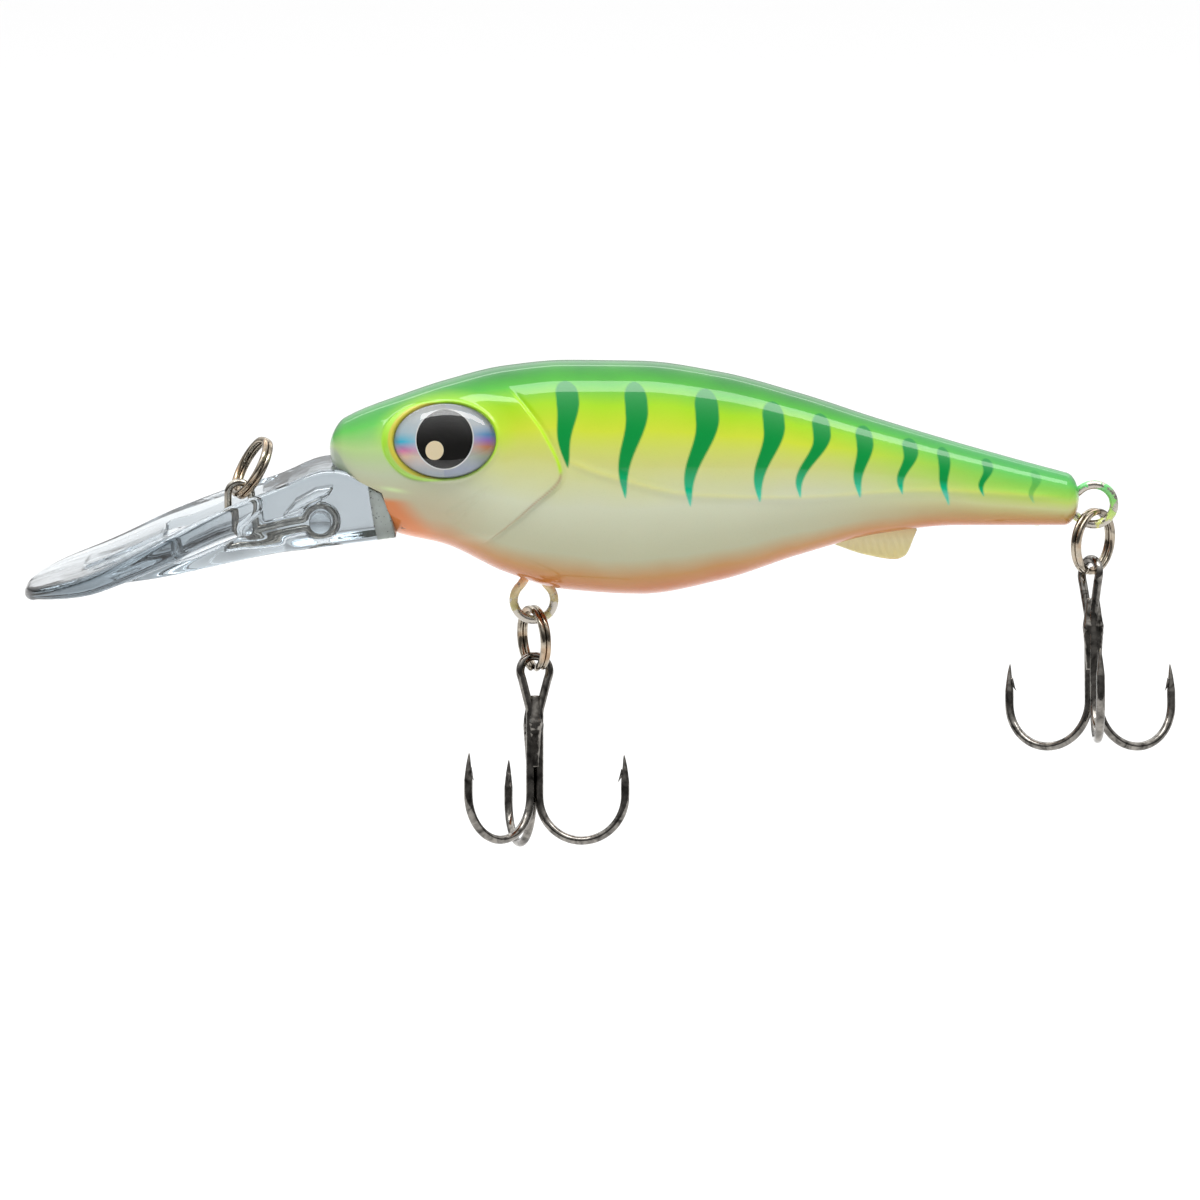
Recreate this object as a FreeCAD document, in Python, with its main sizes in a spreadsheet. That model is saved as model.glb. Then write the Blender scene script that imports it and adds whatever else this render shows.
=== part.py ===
"""Diving crankbait: two glued body shells, a clear lip, wire hangers, split rings and treble hooks.

Frame: origin at the line-tie eye, +X toward the tail, +Y to the lure's right side, +Z toward its back.
All lengths are in millimetres.
"""
import math
import os

import FreeCAD
import Part
import Sketcher

Vec = FreeCAD.Vector
Rot = FreeCAD.Rotation
Place = FreeCAD.Placement

doc = FreeCAD.newDocument("crankbait")
dims = doc.addObject("Spreadsheet::Sheet", "dims")
row_count = 0

BODY_STATIONS = [
    # along, top, bottom, half width
    (9.8, 7.0, 4.2, 1.3),
    (10.7, 8.0, 0.6, 3.0),
    (13.0, 9.1, -2.4, 4.4),
    (17.0, 10.6, -4.2, 5.5),
    (22.0, 12.3, -5.4, 6.3),
    (28.5, 13.9, -8.5, 7.0),
    (35.0, 14.5, -10.4, 7.2),
    (43.0, 14.4, -10.9, 7.1),
    (51.5, 13.2, -9.4, 6.4),
    (60.0, 10.9, -6.6, 5.4),
    (68.5, 8.1, -4.3, 4.3),
    (77.0, 5.5, -3.4, 3.4),
    (84.0, 3.5, -3.4, 2.8),
    (88.6, 2.2, -3.3, 2.3),
    (89.8, 1.2, -2.6, 1.6),
]
CAVITY_STATIONS = range(5, 12)

SIZES = {
    "wall": 1.3,
    "rib_wide": 1.4,
    "pin_radius": 0.8,
    "pin_reach": 2.2,
    "pin_slack": 0.06,
    "lip_half_width": 8.3,
    "lip_block_half": 4.4,
    "lip_spine_half": 3.1,
    "slot_half_width": 2.4,
    "wire_slit_half": 0.5,
    "tenon_half": 3.2,
    "glue_gap": 0.2,
    "cross_pin_radius": 1.25,
    "tie_wire": 0.4,
    "knuckle": 0.012,
    "tie_arch": 1.25,
    "tie_ring": 1.68,
    "hanger_wire": 0.475,
    "hanger_loop": 2.175,
    "hanger_leg": 4.4,
    "hanger_slack": 0.05,
    "ring_outer": 3.6,
    "ring_inner": 2.92,
    "coil_thick": 0.55,
    "coil_gap": 0.04,
    "coil_turn": 332.0,
    "hook_wire": 0.465,
    "hook_bend": 4.75,
    "eye_bend": 1.635,
    "braze_radius": 1.22,
    "braze_long": 4.6,
    "point_long": 2.6,
    "iris_long": 5.45,
    "iris_high": 3.95,
    "rim_wide": 0.75,
    "foil_thick": 0.15,
    "dome_high": 1.15,
    "fin_half": 0.6,
    "ball_radius": 2.2,
    "ballast_half": 2.6,
}


def write_cell(alias, value):
    """Store one plain number under a word alias."""
    global row_count
    row_count += 1
    dims.set("A%d" % row_count, alias)
    dims.set("B%d" % row_count, str(value))
    dims.setAlias("B%d" % row_count, alias)


def fill_sheet():
    """Write every driving dimension."""
    for alias, value in SIZES.items():
        write_cell(alias, value)
    for index, station in enumerate(BODY_STATIONS):
        for word, value in zip(("along", "top", "bottom", "half"), station):
            write_cell("station_%s_%d" % (word, index), value)
    doc.recompute()


def add(kind, name, **bindings):
    """Add an object whose properties follow sheet expressions or plain numbers."""
    obj = doc.addObject(kind, name)
    for prop, value in bindings.items():
        if isinstance(value, str):
            obj.setExpression(prop, value)
        else:
            setattr(obj, prop, value)
    return obj


def fuse(name, shapes):
    """Join several objects into one solid."""
    obj = doc.addObject("Part::MultiFuse", name)
    obj.Shapes = shapes
    obj.Refine = True
    return obj


def cut(name, base, tool):
    """Take one object away from another."""
    obj = doc.addObject("Part::Cut", name)
    obj.Base = base
    obj.Tool = tool
    return obj


def common(name, shapes):
    """Keep what the objects share."""
    obj = doc.addObject("Part::MultiCommon", name)
    obj.Shapes = shapes
    return obj


def box(name, low, high):
    """A plain box between two corners."""
    size = Vec(*high) - Vec(*low)
    obj = add("Part::Box", name, Length=size.x, Width=size.y, Height=size.z)
    obj.Placement = Place(Vec(*low), Rot())
    return obj


def prism(name, outline, half_width, plane="XZ"):
    """A flat outline stretched equally to both sides of its plane."""
    points = [Vec(a, 0, b) if plane == "XZ" else Vec(a, b, 0) for a, b in outline]
    wire = add("Part::Feature", name + "_outline")
    wire.Shape = Part.makePolygon(points + points[:1])
    obj = doc.addObject("Part::Extrusion", name)
    obj.Base = wire
    obj.DirMode = "Custom"
    obj.Dir = Vec(0, 1, 0) if plane == "XZ" else Vec(0, 0, 1)
    obj.Solid = True
    obj.Symmetric = True
    obj.setExpression("LengthFwd", "2 * (%s)" % half_width)
    return obj


def rod(name, start, end, radius):
    """A round rod from one point to another."""
    start, end = Vec(*start), Vec(*end)
    obj = add("Part::Cylinder", name, Radius=radius, Height=(end - start).Length)
    obj.Placement = Place(start, Rot(Vec(0, 0, 1), end - start))
    return obj


def bead(name, centre, radius):
    """A ball that rounds the corner between two rods."""
    obj = add("Part::Sphere", name, Radius=radius)
    obj.Placement = Place(Vec(*centre), Rot())
    return obj


def bend(name, centre, start, sweep, bend_radius, wire_radius):
    """A wire arc standing in the XZ plane, measured from +X toward +Z."""
    obj = add("Part::Torus", name, Radius1=bend_radius, Radius2=wire_radius, Angle3=float(sweep))
    obj.Placement = Place(Vec(*centre), Rot(Vec(1, 0, 0), 90) * Rot(Vec(0, 0, 1), start))
    return obj


def on_circle(centre, radius, angle):
    """A point on a circle standing in the XZ plane."""
    turn = math.radians(angle)
    return (centre[0] + radius * math.cos(turn), centre[1], centre[2] + radius * math.sin(turn))


def finish(obj, label, place=None):
    """Name a finished sub-part and put it in its place."""
    obj.Label = label
    if place is not None:
        obj.Placement = place
    FINISHED.append(obj)
    return obj


FINISHED = []


# ---- body shells -----------------------------------------------------------------------------


def section(name, index, inset):
    """One oval cross-section of the body, pulled in by the inset."""
    cells = {word: "dims.station_%s_%d" % (word, index) for word in ("along", "top", "bottom", "half")}
    oval = add("Part::Ellipse", "%s_section_%d" % (name, index))
    oval.setExpression("MajorRadius", "(%(top)s - %(bottom)s) / 2 - " % cells + inset)
    oval.setExpression("MinorRadius", "%(half)s - " % cells + inset)
    oval.Placement = Place(Vec(), Rot(Vec(0, 0, 1), Vec(0, 1, 0), Vec(1, 0, 0), "ZXY"))
    oval.setExpression(".Placement.Base.x", cells["along"])
    oval.setExpression(".Placement.Base.z", "(%(top)s + %(bottom)s) / 2" % cells)
    return oval


def hull(name, indices, inset):
    """A smooth solid through the chosen cross-sections."""
    obj = doc.addObject("Part::Loft", name)
    obj.Sections = [section(name, index, inset) for index in indices]
    obj.Solid = True
    return obj


def eye_place(side):
    """The seat of an eye: long axis toward the tail, axis out of the flank."""
    outward = Vec(-0.13, side * 0.93, 0.34)
    along = Vec(0.995, side * 0.13, 0.03)
    return Place(Vec(22.1, side * 5.75, 7.05), Rot(along, Vec(), outward, "ZXY"))


def oval_plug(name, side, grow, low, high):
    """An oval plug on the eye seat, from one depth to another."""
    oval = add("Part::Ellipse", name + "_outline")
    oval.setExpression("MajorRadius", "dims.iris_long + " + grow)
    oval.setExpression("MinorRadius", "dims.iris_high + " + grow)
    seat = eye_place(side)
    oval.Placement = seat.multiply(Place(Vec(0, 0, low), Rot()))
    plug = doc.addObject("Part::Extrusion", name)
    plug.Base = oval
    plug.DirMode = "Custom"
    plug.Dir = seat.Rotation.multVec(Vec(0, 0, 1))
    plug.LengthFwd = high - low
    plug.Solid = True
    return plug


def build_cavity():
    """The hollow inside the shells, with ribs, bosses and the ballast cradle left standing."""
    hollow = hull("hollow", CAVITY_STATIONS, "dims.wall")
    ribs = [
        box("rib_front", (36.6, -9, -15), (38.0, 9, 18)),
        box("rib_middle", (47.0, -9, -15), (48.4, 9, 18)),
        box("rib_rear", (64.0, -9, -15), (65.4, 9, 18)),
        box("hanger_boss", (26.0, -9, -12), (36.7, 9, -3.6)),
        box("ballast_boss", (37.9, -9, -12), (47.1, 9, -5.0)),
        box("rattle_floor", (48.3, -9, -12), (64.1, 9, -2.6)),
        box("rattle_roof", (48.3, -9, 2.2), (64.1, 9, 3.6)),
    ]
    return cut("cavity", hollow, fuse("ribs", ribs))


def fin_blade():
    """The thin fin under the tail."""
    outline = [(62.3, -3.0), (63.4, -5.9), (67.1, -6.8), (69.9, -7.25), (71.2, -6.8), (71.6, -5.2), (72.1, -3.0)]
    return prism("fin_blade", outline, "dims.fin_half")


def build_shells():
    """Both halves of the hollow body with every pocket cut into them."""
    rims = [oval_plug("rim_%s" % word, side, "dims.rim_wide", -2.5, 0.15) for word, side in SIDES]
    outer = fuse("outer_body", [hull("skin", range(len(BODY_STATIONS)), "0"), fin_blade()] + rims)
    mouth = prism("mouth", [(5, 5.6), (9.9, 3.95), (15.4, 1.3), (16.9, -4.2), (17.4, -8), (5, -8)], "12")
    socket = box("socket", (14.0, -3.4, -3.1), (21.2, 3.4, 1.3))
    for prop, cell in (("Width", "2 * (dims.tenon_half + dims.glue_gap)"),):
        socket.setExpression(prop, cell)
    socket.setExpression(".Placement.Base.y", "-(dims.tenon_half + dims.glue_gap)")
    seats = [oval_plug("seat_%s" % word, side, "0.05", -0.85, 3.0) for word, side in SIDES]
    ballast_pocket = box("ballast_pocket", (39.5, -2.65, -8.6), (45.5, 2.65, -4.9))
    slots = [hanger_wires("belly_slot", "dims.hanger_slack"), hanger_wires("tail_slot", "dims.hanger_slack")]
    slots[0].Placement = BELLY_HANGER
    slots[1].Placement = TAIL_HANGER
    tools = fuse("pockets", [mouth, socket, build_cavity(), ballast_pocket] + seats + slots)
    solid = cut("hollow_body", outer, tools)
    left_half = common("left_half", [solid, box("left_space", (0, -15, -20), (100, 0, 25))])
    right_half = common("right_half", [solid, box("right_space", (0, 0, -20), (100, 15, 25))])
    pins = [locating_pin("pin_%d" % i, spot, "0") for i, spot in enumerate(PIN_SPOTS)]
    holes = [locating_pin("hole_%d" % i, spot, "dims.pin_slack") for i, spot in enumerate(PIN_SPOTS)]
    finish(fuse("left_shell", [left_half] + pins), "left_body_shell")
    finish(cut("right_shell", right_half, fuse("pin_holes", holes)), "right_body_shell")


def locating_pin(name, spot, slack):
    """A pin that lines the two halves up."""
    pin = add("Part::Cylinder", name, Radius="dims.pin_radius + " + slack)
    pin.setExpression("Height", "dims.pin_reach + 0.5 + " + slack)
    pin.Placement = Place(Vec(spot[0], -0.5, spot[1]), Rot(Vec(0, 0, 1), Vec(0, 1, 0)))
    return pin


# ---- eyes ------------------------------------------------------------------------------------


def build_eyes():
    """A foil disc under a clear domed lens on each side."""
    for word, side in SIDES:
        foil = oval_plug(word + "_foil", side, "0", -0.8, -0.65)
        finish(foil, word + "_eye_foil")
        lens = add("Part::Ellipsoid", word + "_lens", Radius1=1.8, Radius2="dims.iris_long", Radius3="dims.iris_high")
        lens.Placement = eye_place(side).multiply(Place(Vec(0, 0, -0.64), Rot()))
        above = oval_plug(word + "_above", side, "1", -0.64, 3.0)
        finish(common(word + "_dome", [lens, above]), word + "_eye_dome")


# ---- lip and its fixings ---------------------------------------------------------------------


def lip_trim():
    """The rounded plan outline of the lip: a broad paddle narrowing to the base block."""
    half = SIZES["lip_half_width"]
    block = SIZES["lip_block_half"]
    centre = -23.2 + half
    front = [(centre - half * math.cos(math.radians(a)), half * math.sin(math.radians(a))) for a in range(0, 91, 10)]
    side = [(-9.5, 8.2), (-6.0, 7.5), (-2.0, 6.1), (2.0, 4.9), (5.0, block), (30.0, block)]
    upper = front + side
    lower = [(a, -b) for a, b in reversed(upper[1:])]
    return prism("lip_plan", upper + lower, "30", plane="XY")


def build_lip():
    """The clear diving lip with its spine, wire slot and tenon."""
    blade = [(-23.2, -10.6), (-22.9, -10.2), (-15.2, -6.9), (-1.0, -1.25), (3.0, 1.1), (3.0, -3.4),
             (-6.0, -5.9), (-15.2, -9.0), (-22.0, -11.3), (-22.9, -11.25)]
    keel = [(-15.0, -7.2), (-7.6, -3.9), (-1.0, -1.25), (2.0, 0.5), (4.2, 1.9), (8.5, 3.55), (9.9, 3.85),
            (15.4, 1.2), (16.9, -4.0), (8.0, -5.2), (4.2, -5.75), (-5.5, -7.9), (-9.0, -8.6), (-15.0, -9.05)]
    paddle = common("paddle", [prism("lip_blade", blade, "dims.lip_half_width"), lip_trim()])
    block = common("block", [prism("lip_keel", keel, "dims.lip_block_half"), lip_trim()])
    spine = prism("spine", [(-16.6, -8.0), (-16.4, -6.85), (-7.6, -3.05), (-6.6, -3.0), (-6.6, -4.5)],
                  "dims.lip_spine_half")
    tenon = prism("tenon", [(13.0, 1.05), (21.0, 1.05), (21.0, -2.85), (13.0, -2.85)], "dims.tenon_half")
    body = fuse("lip_body", [paddle, block, spine, tenon])
    window = prism("window", [(-7.8, -10), (-7.8, 3), (2.4, 6), (2.4, -1.6), (0.6, -2.6), (-2.2, -5.2), (-2.2, -10)],
                   "dims.slot_half_width")
    slit = prism("slit", [(-1.8, -6.1), (-1.8, 5), (5.2, 5), (11.0, 1.6), (11.2, -1.0), (11.0, -3.6), (9.2, -4.9),
                          (6.4, -5.05)], "dims.wire_slit_half")
    bore = add("Part::Cylinder", "pin_bore", Radius="dims.cross_pin_radius")
    bore.Height = 20
    bore.Placement = Place(Vec(TIE_RING[0], -10, TIE_RING[2]), Rot(Vec(0, 0, 1), Vec(0, 1, 0)))
    finish(cut("lip", body, fuse("lip_cuts", [window, slit, bore])), "diving_lip")


def build_cross_pin():
    """The clear pin through the block and the anchor ring of the line tie."""
    pin = add("Part::Cylinder", "cross_pin", Radius="dims.cross_pin_radius - 0.03")
    pin.setExpression("Height", "2 * dims.lip_block_half")
    half = SIZES["lip_block_half"]
    finish(pin, "lip_cross_pin", Place(Vec(TIE_RING[0], -half, TIE_RING[2]), Rot(Vec(0, 0, 1), Vec(0, 1, 0))))


def build_adhesive():
    """The clear glue that fills the socket round the tenon."""
    fill = box("glue_fill", (17.4, -3.4, -3.1), (21.2, 3.4, 1.3))
    fill.setExpression("Width", "2 * (dims.tenon_half + dims.glue_gap)")
    fill.setExpression(".Placement.Base.y", "-(dims.tenon_half + dims.glue_gap)")
    core = box("glue_core", (17.0, -3.2, -2.85), (21.0, 3.2, 1.05))
    core.setExpression("Width", "2 * dims.tenon_half")
    core.setExpression(".Placement.Base.y", "-dims.tenon_half")
    finish(cut("glue", fill, core), "lip_adhesive")


def build_line_tie():
    """The figure-eight wire: an arch for the ring, two legs and a hidden anchor ring."""
    wire = "dims.tie_wire"
    arch = SIZES["tie_arch"]
    lean = 11.0
    gap = 0.5
    reach = SIZES["tie_ring"]
    half_open = math.degrees(math.asin(gap / reach))
    start = 180 + lean + half_open
    upper = on_circle(TIE_RING, reach, 180 + lean - half_open)
    lower = on_circle(TIE_RING, reach, start)
    slope = math.tan(math.radians(lean))
    upper_turn = (arch, 0, upper[2] - slope * (upper[0] - arch))
    lower_turn = (-arch, 0, lower[2] - slope * (lower[0] + arch))
    pieces = [
        bend("tie_arch", (0, 0, 0), 0, 180, "dims.tie_arch", wire),
        bend("tie_loop", TIE_RING, start, 360 - 2 * half_open, "dims.tie_ring", wire),
        rod("tie_rear_leg", (arch, 0, 0), upper_turn, wire),
        rod("tie_front_leg", (-arch, 0, 0), lower_turn, wire),
        rod("tie_upper_neck", upper_turn, upper, wire),
        rod("tie_lower_neck", lower_turn, lower, wire),
        bead("tie_corner_a", upper_turn, wire),
        bead("tie_corner_b", lower_turn, wire),
        bead("tie_corner_c", upper, wire),
        bead("tie_corner_d", lower, wire),
    ]
    finish(fuse("tie", pieces), "line_tie_wire")


# ---- hangers, rings and hooks ----------------------------------------------------------------


def hanger_wires(name, slack):
    """A wire loop with two legs that cross-hook inside the body; the loop centre is at the origin."""
    wire = "dims.hanger_wire + " + slack
    loop = SIZES["hanger_loop"]
    half_open = 40
    foot = SIZES["hanger_leg"] + loop * math.sin(math.radians(90 - half_open))
    left = on_circle((0, 0, 0), loop, 90 + half_open)
    right = on_circle((0, 0, 0), loop, 90 - half_open)
    left_knee = (-0.62, 0, left[2] + 1.3)
    right_knee = (0.62, 0, right[2] + 1.3)
    left_foot = (-0.62, 0, foot)
    right_foot = (0.62, 0, foot)
    pieces = [
        bend(name + "_loop", (0, 0, 0), 90 + half_open, 360 - 2 * half_open, "dims.hanger_loop", wire),
        rod(name + "_rise_a", left, left_knee, wire),
        rod(name + "_rise_b", right, right_knee, wire),
        rod(name + "_leg_a", left_knee, left_foot, wire),
        rod(name + "_leg_b", right_knee, right_foot, wire),
        rod(name + "_toe_a", left_foot, (-2.2, 0, foot), wire),
        rod(name + "_toe_b", right_foot, (2.2, 0, foot), wire),
    ]
    corners = [left, right, left_knee, right_knee, left_foot, right_foot]
    pieces += [bead("%s_corner_%d" % (name, i), spot, wire) for i, spot in enumerate(corners)]
    return fuse(name, pieces)


def split_ring(label, place):
    """Two flat coils of flattened wire joined by a short slanting step; the ring's axis is local Z."""
    coils = []
    for word, low in (("lower", "-dims.coil_thick - dims.coil_gap / 2"), ("upper", "dims.coil_gap / 2")):
        disc = add("Part::Cylinder", "%s_%s_disc" % (label, word), Radius="dims.ring_outer")
        hole = add("Part::Cylinder", "%s_%s_hole" % (label, word), Radius="dims.ring_inner")
        for obj in (disc, hole):
            obj.setExpression("Height", "dims.coil_thick")
            obj.setExpression("Angle", "dims.coil_turn")
            obj.setExpression(".Placement.Base.z", low)
        hole.Angle = 360
        hole.setExpression("Angle", None)
        coil = cut("%s_%s_coil" % (label, word), disc, hole)
        coils.append(coil)
    coils[1].Placement = Place(Vec(), Rot(Vec(0, 0, 1), -SIZES["coil_turn"] + 360))
    step = doc.addObject("Part::Loft", label + "_step")
    step.Sections = [
        ring_end(label + "_end_a", SIZES["coil_turn"] - 1.0, -1),
        ring_end(label + "_end_b", 361.0 - SIZES["coil_turn"] + SIZES["coil_turn"], 1),
    ]
    step.Solid = True
    step.Ruled = True
    return finish(fuse(label + "_wire", coils + [step]), label, place)


def ring_end(name, angle, side):
    """The upright cross-section of one coil at an angle round the ring."""
    patch = add("Part::Plane", name, Length="dims.ring_outer - dims.ring_inner", Width="dims.coil_thick")
    turn = math.radians(angle)
    outward = Vec(math.cos(turn), math.sin(turn), 0)
    low = SIZES["coil_gap"] / 2 if side > 0 else -SIZES["coil_thick"] - SIZES["coil_gap"] / 2
    corner = outward * SIZES["ring_inner"] + Vec(0, 0, low)
    patch.Placement = Place(corner, Rot(outward, Vec(0, 0, 1), Vec(), "XYZ"))
    return patch


HOOK_SHANK = 0.575
EYE_CENTRE = -0.35
SHANK_TOP = -4.3
BEND_LEVEL = -13.9


def hook_arm(name, angle, top):
    """Shank, round bend, point leg, tapered point and barb of one hook at an angle round the axis."""
    wire = "dims.hook_wire"
    radius = SIZES["hook_bend"]
    far = HOOK_SHANK + 2 * radius
    tip_base = BEND_LEVEL + 1.9
    pieces = [
        rod(name + "_shank", (HOOK_SHANK, 0, BEND_LEVEL), (HOOK_SHANK, 0, top), wire),
        bend(name + "_bend", (HOOK_SHANK + radius, 0, BEND_LEVEL), 180, 180, "dims.hook_bend", wire),
        rod(name + "_leg", (far, 0, BEND_LEVEL), (far, 0, tip_base), wire),
    ]
    point = add("Part::Cone", name + "_point", Radius1=wire, Radius2=0.05, Height="dims.point_long")
    point.Placement = Place(Vec(far, 0, tip_base), Rot())
    barb = add("Part::Cone", name + "_barb", Radius1=0.05, Radius2=0.2, Height=1.0)
    barb.Placement = Place(Vec(far - 0.85, 0, tip_base - 0.35), Rot(Vec(0, 0, 1), Vec(0.62, 0, 0.78)))
    arm = fuse(name, pieces + [point, barb])
    arm.Placement = Place(Vec(), Rot(Vec(0, 0, 1), angle))
    return arm


def hook_eye(name):
    """The teardrop eye that joins the two shanks of the double hook."""
    wire = "dims.hook_wire"
    radius = SIZES["eye_bend"]
    shift = -HOOK_SHANK / 2
    foot = HOOK_SHANK * math.cos(math.radians(30))
    dip = 28
    centre = (0, shift, EYE_CENTRE)
    pieces = [bend(name + "_crown", centre, -dip, 180 + 2 * dip, "dims.eye_bend", wire)]
    for word, sign in (("a", 1), ("b", -1)):
        edge = on_circle(centre, radius, -dip)
        edge = (sign * edge[0], shift, edge[2])
        low = (sign * foot, shift, SHANK_TOP)
        pieces.append(rod("%s_side_%s" % (name, word), edge, low, wire))
        pieces.append(bead("%s_top_%s" % (name, word), edge, wire + " + dims.knuckle"))
        pieces.append(bead("%s_foot_%s" % (name, word), low, wire + " + dims.knuckle"))
    return pieces


def treble(label, place):
    """A bent double hook, a single hook nested behind it and the braze that joins them."""
    arms = [hook_arm(label + "_arm_a", -30, SHANK_TOP), hook_arm(label + "_arm_b", -150, SHANK_TOP)]
    double = fuse(label + "_double", arms + hook_eye(label + "_eye"))
    single = hook_arm(label + "_arm_c", -270, SHANK_TOP - 0.3)
    collar = add("Part::Cylinder", label + "_collar", Radius="dims.braze_radius", Height="dims.braze_long")
    collar.Placement = Place(Vec(0, 0, SHANK_TOP - 0.5 - SIZES["braze_long"]), Rot())
    shanks = []
    for i, angle in enumerate((-30, -150, -270)):
        turn = math.radians(angle)
        x, y = HOOK_SHANK * math.cos(turn), HOOK_SHANK * math.sin(turn)
        shanks.append(rod("%s_groove_%d" % (label, i), (x, y, BEND_LEVEL), (x, y, SHANK_TOP), "dims.hook_wire + 0.004"))
    braze = cut(label + "_sleeve", collar, fuse(label + "_grooves", shanks))
    finish(double, label + "_double_hook", place)
    finish(single, label + "_single_hook", place.multiply(single.Placement))
    finish(braze, label + "_braze", place)


# ---- weights ---------------------------------------------------------------------------------


def build_weights():
    """The belly ballast and three loose balls in the rattle chamber."""
    body = doc.addObject("PartDesign::Body", "ballast_body")
    sketch = body.newObject("Sketcher::SketchObject", "ballast_sketch")
    plane = [f for f in body.Origin.OriginFeatures if f.Role == "XY_Plane"][0]
    sketch.AttachmentSupport = [(plane, "")]
    sketch.MapMode = "FlatFace"
    sketch.addGeometry(Part.Circle(Vec(0, 0, 0), Vec(0, 0, 1), 2.6))
    sketch.renameConstraint(sketch.addConstraint(Sketcher.Constraint("Radius", 0, 2.6)), "ballast_half")
    sketch.setExpression("Constraints.ballast_half", "dims.ballast_half")
    pad = body.newObject("PartDesign::Pad", "ballast_pad")
    pad.Profile = sketch
    pad.Length = 3.4
    doc.recompute()
    chamfer = body.newObject("PartDesign::Chamfer", "ballast_edge")
    chamfer.Base = (pad, ["Face2"])
    chamfer.Size = 0.3
    body.Tip = chamfer
    finish(body, "belly_ballast", Place(Vec(42.5, 0, -8.5), Rot()))
    for number, along in enumerate((51.2, 56.0, 60.8), 1):
        ball = add("Part::Sphere", "ball_%d" % number, Radius="dims.ball_radius")
        finish(ball, "rattle_ball_%d" % number, Place(Vec(along, 0, -0.2), Rot()))


def check_fuse(obj):
    """Stop if a fuse has lost a piece: the whole reaches as far as each piece does."""
    whole = obj.Shape.copy()
    whole.Placement = Place()
    outer = whole.optimalBoundingBox(False)
    outer.enlarge(0.05)
    for piece in obj.Shapes:
        if not outer.isInside(piece.Shape.optimalBoundingBox(False)):
            raise RuntimeError("%s has lost %s" % (obj.Name, piece.Name))


def check_and_write():
    """Check every object, then write one file per sub-part."""
    doc.recompute()
    for obj in doc.Objects:
        if "Invalid" in obj.State or "Error" in obj.State:
            raise RuntimeError("%s is %s" % (obj.Name, obj.State))
        if obj.TypeId == "Part::MultiFuse":
            check_fuse(obj)
    os.makedirs("parts", exist_ok=True)
    for obj in FINISHED:
        if obj.Shape.isNull() or not obj.Shape.isValid():
            raise RuntimeError("%s has no valid shape" % obj.Label)
        obj.Shape.exportStep("parts/%s.step" % obj.Label)
        print("%-28s solids %d volume %9.3f" % (obj.Label, len(obj.Shape.Solids), obj.Shape.Volume))


SIDES = (("left", -1), ("right", 1))
TIE_RING = (8.7, 0, -2.65)
PIN_SPOTS = [(24.0, 9.6), (37.3, 11.0), (47.7, 9.6), (64.7, 5.8), (37.3, -8.3), (80.0, 0.2)]
BELLY_HANGER = Place(Vec(31.5, 0, -11.7), Rot())
TAIL_HANGER = Place(Vec(91.5, 0, -1.2), Rot(Vec(0, 1, 0), -90))

fill_sheet()
build_shells()
build_eyes()
build_lip()
build_cross_pin()
build_adhesive()
build_line_tie()
finish(hanger_wires("belly_hanger", "0"), "belly_hook_hanger", BELLY_HANGER)
finish(hanger_wires("tail_hanger", "0"), "tail_hook_hanger", TAIL_HANGER)

RING_DROP = 3.27
front_pivot = BELLY_HANGER.Base - Vec(0, 0, SIZES["hanger_loop"])
rear_pivot = TAIL_HANGER.Base - Vec(0, 0, SIZES["hanger_loop"])
# Each hanging set: name, pivot, turn of the ring, its grip on the hanger, turn of the hook and its tilt.
HANGING_SETS = (
    ("front", front_pivot, 23.5, 1.2, 16.6, -17),
    ("rear", rear_pivot, -38, 1.4, -60, -20),
)
for word, pivot, turn, grip, hook_turn, hook_tilt in HANGING_SETS:
    upright = Rot(Vec(0, 0, 1), turn) * Rot(Vec(0, 1, 0), 90)
    centre = pivot + Vec(0, 0, grip - RING_DROP)
    split_ring(word + "_split_ring", Place(centre, upright))
    hang = Rot(Vec(1, 0, 0), hook_tilt) * Rot(Vec(0, 0, 1), hook_turn)
    treble(word + "_treble", Place(centre - Vec(0, 0, RING_DROP), hang))

tie_axis = Vec(-0.835, -0.226, 0.501).normalize()
tie_lean = Vec(0.372, 0.439, 0.818).normalize()
tie_pivot = Vec(0.05, -0.18, -0.11)
split_ring("line_tie_ring", Place(tie_pivot + tie_lean * RING_DROP, Rot(tie_lean, Vec(), tie_axis, "ZXY")))
build_weights()
check_and_write()
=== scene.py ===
"""Looks of a deep-diving crankbait lure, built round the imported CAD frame.

Every shape is worked out in millimetres in the lure's own frame and scaled to metres at the end:
X from nose to tail, Y to the lure's right side, Z from belly to back, origin at the line-tie arch.
"""
import math

import bpy
import bmesh
import numpy as np
from mathutils import Matrix, Vector, noise


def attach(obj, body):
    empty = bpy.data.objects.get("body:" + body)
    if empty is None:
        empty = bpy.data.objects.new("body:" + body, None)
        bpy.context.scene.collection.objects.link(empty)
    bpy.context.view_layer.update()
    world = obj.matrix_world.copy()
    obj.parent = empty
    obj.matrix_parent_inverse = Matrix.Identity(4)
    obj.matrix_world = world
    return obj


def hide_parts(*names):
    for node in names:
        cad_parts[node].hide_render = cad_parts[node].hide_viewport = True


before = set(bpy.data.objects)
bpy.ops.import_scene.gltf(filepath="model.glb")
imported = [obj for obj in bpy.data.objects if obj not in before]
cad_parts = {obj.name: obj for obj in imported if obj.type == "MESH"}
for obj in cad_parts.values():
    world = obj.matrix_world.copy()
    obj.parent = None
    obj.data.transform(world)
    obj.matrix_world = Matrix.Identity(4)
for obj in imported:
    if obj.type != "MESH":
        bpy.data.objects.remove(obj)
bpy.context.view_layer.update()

MM = 0.001
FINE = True


# ---- small helpers ----


def smoothstep(low, high, value):
    """0 below low, 1 above high, with a soft ramp between."""
    t = np.clip((value - low) / (high - low), 0.0, 1.0)
    return t * t * (3.0 - 2.0 * t)


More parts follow.
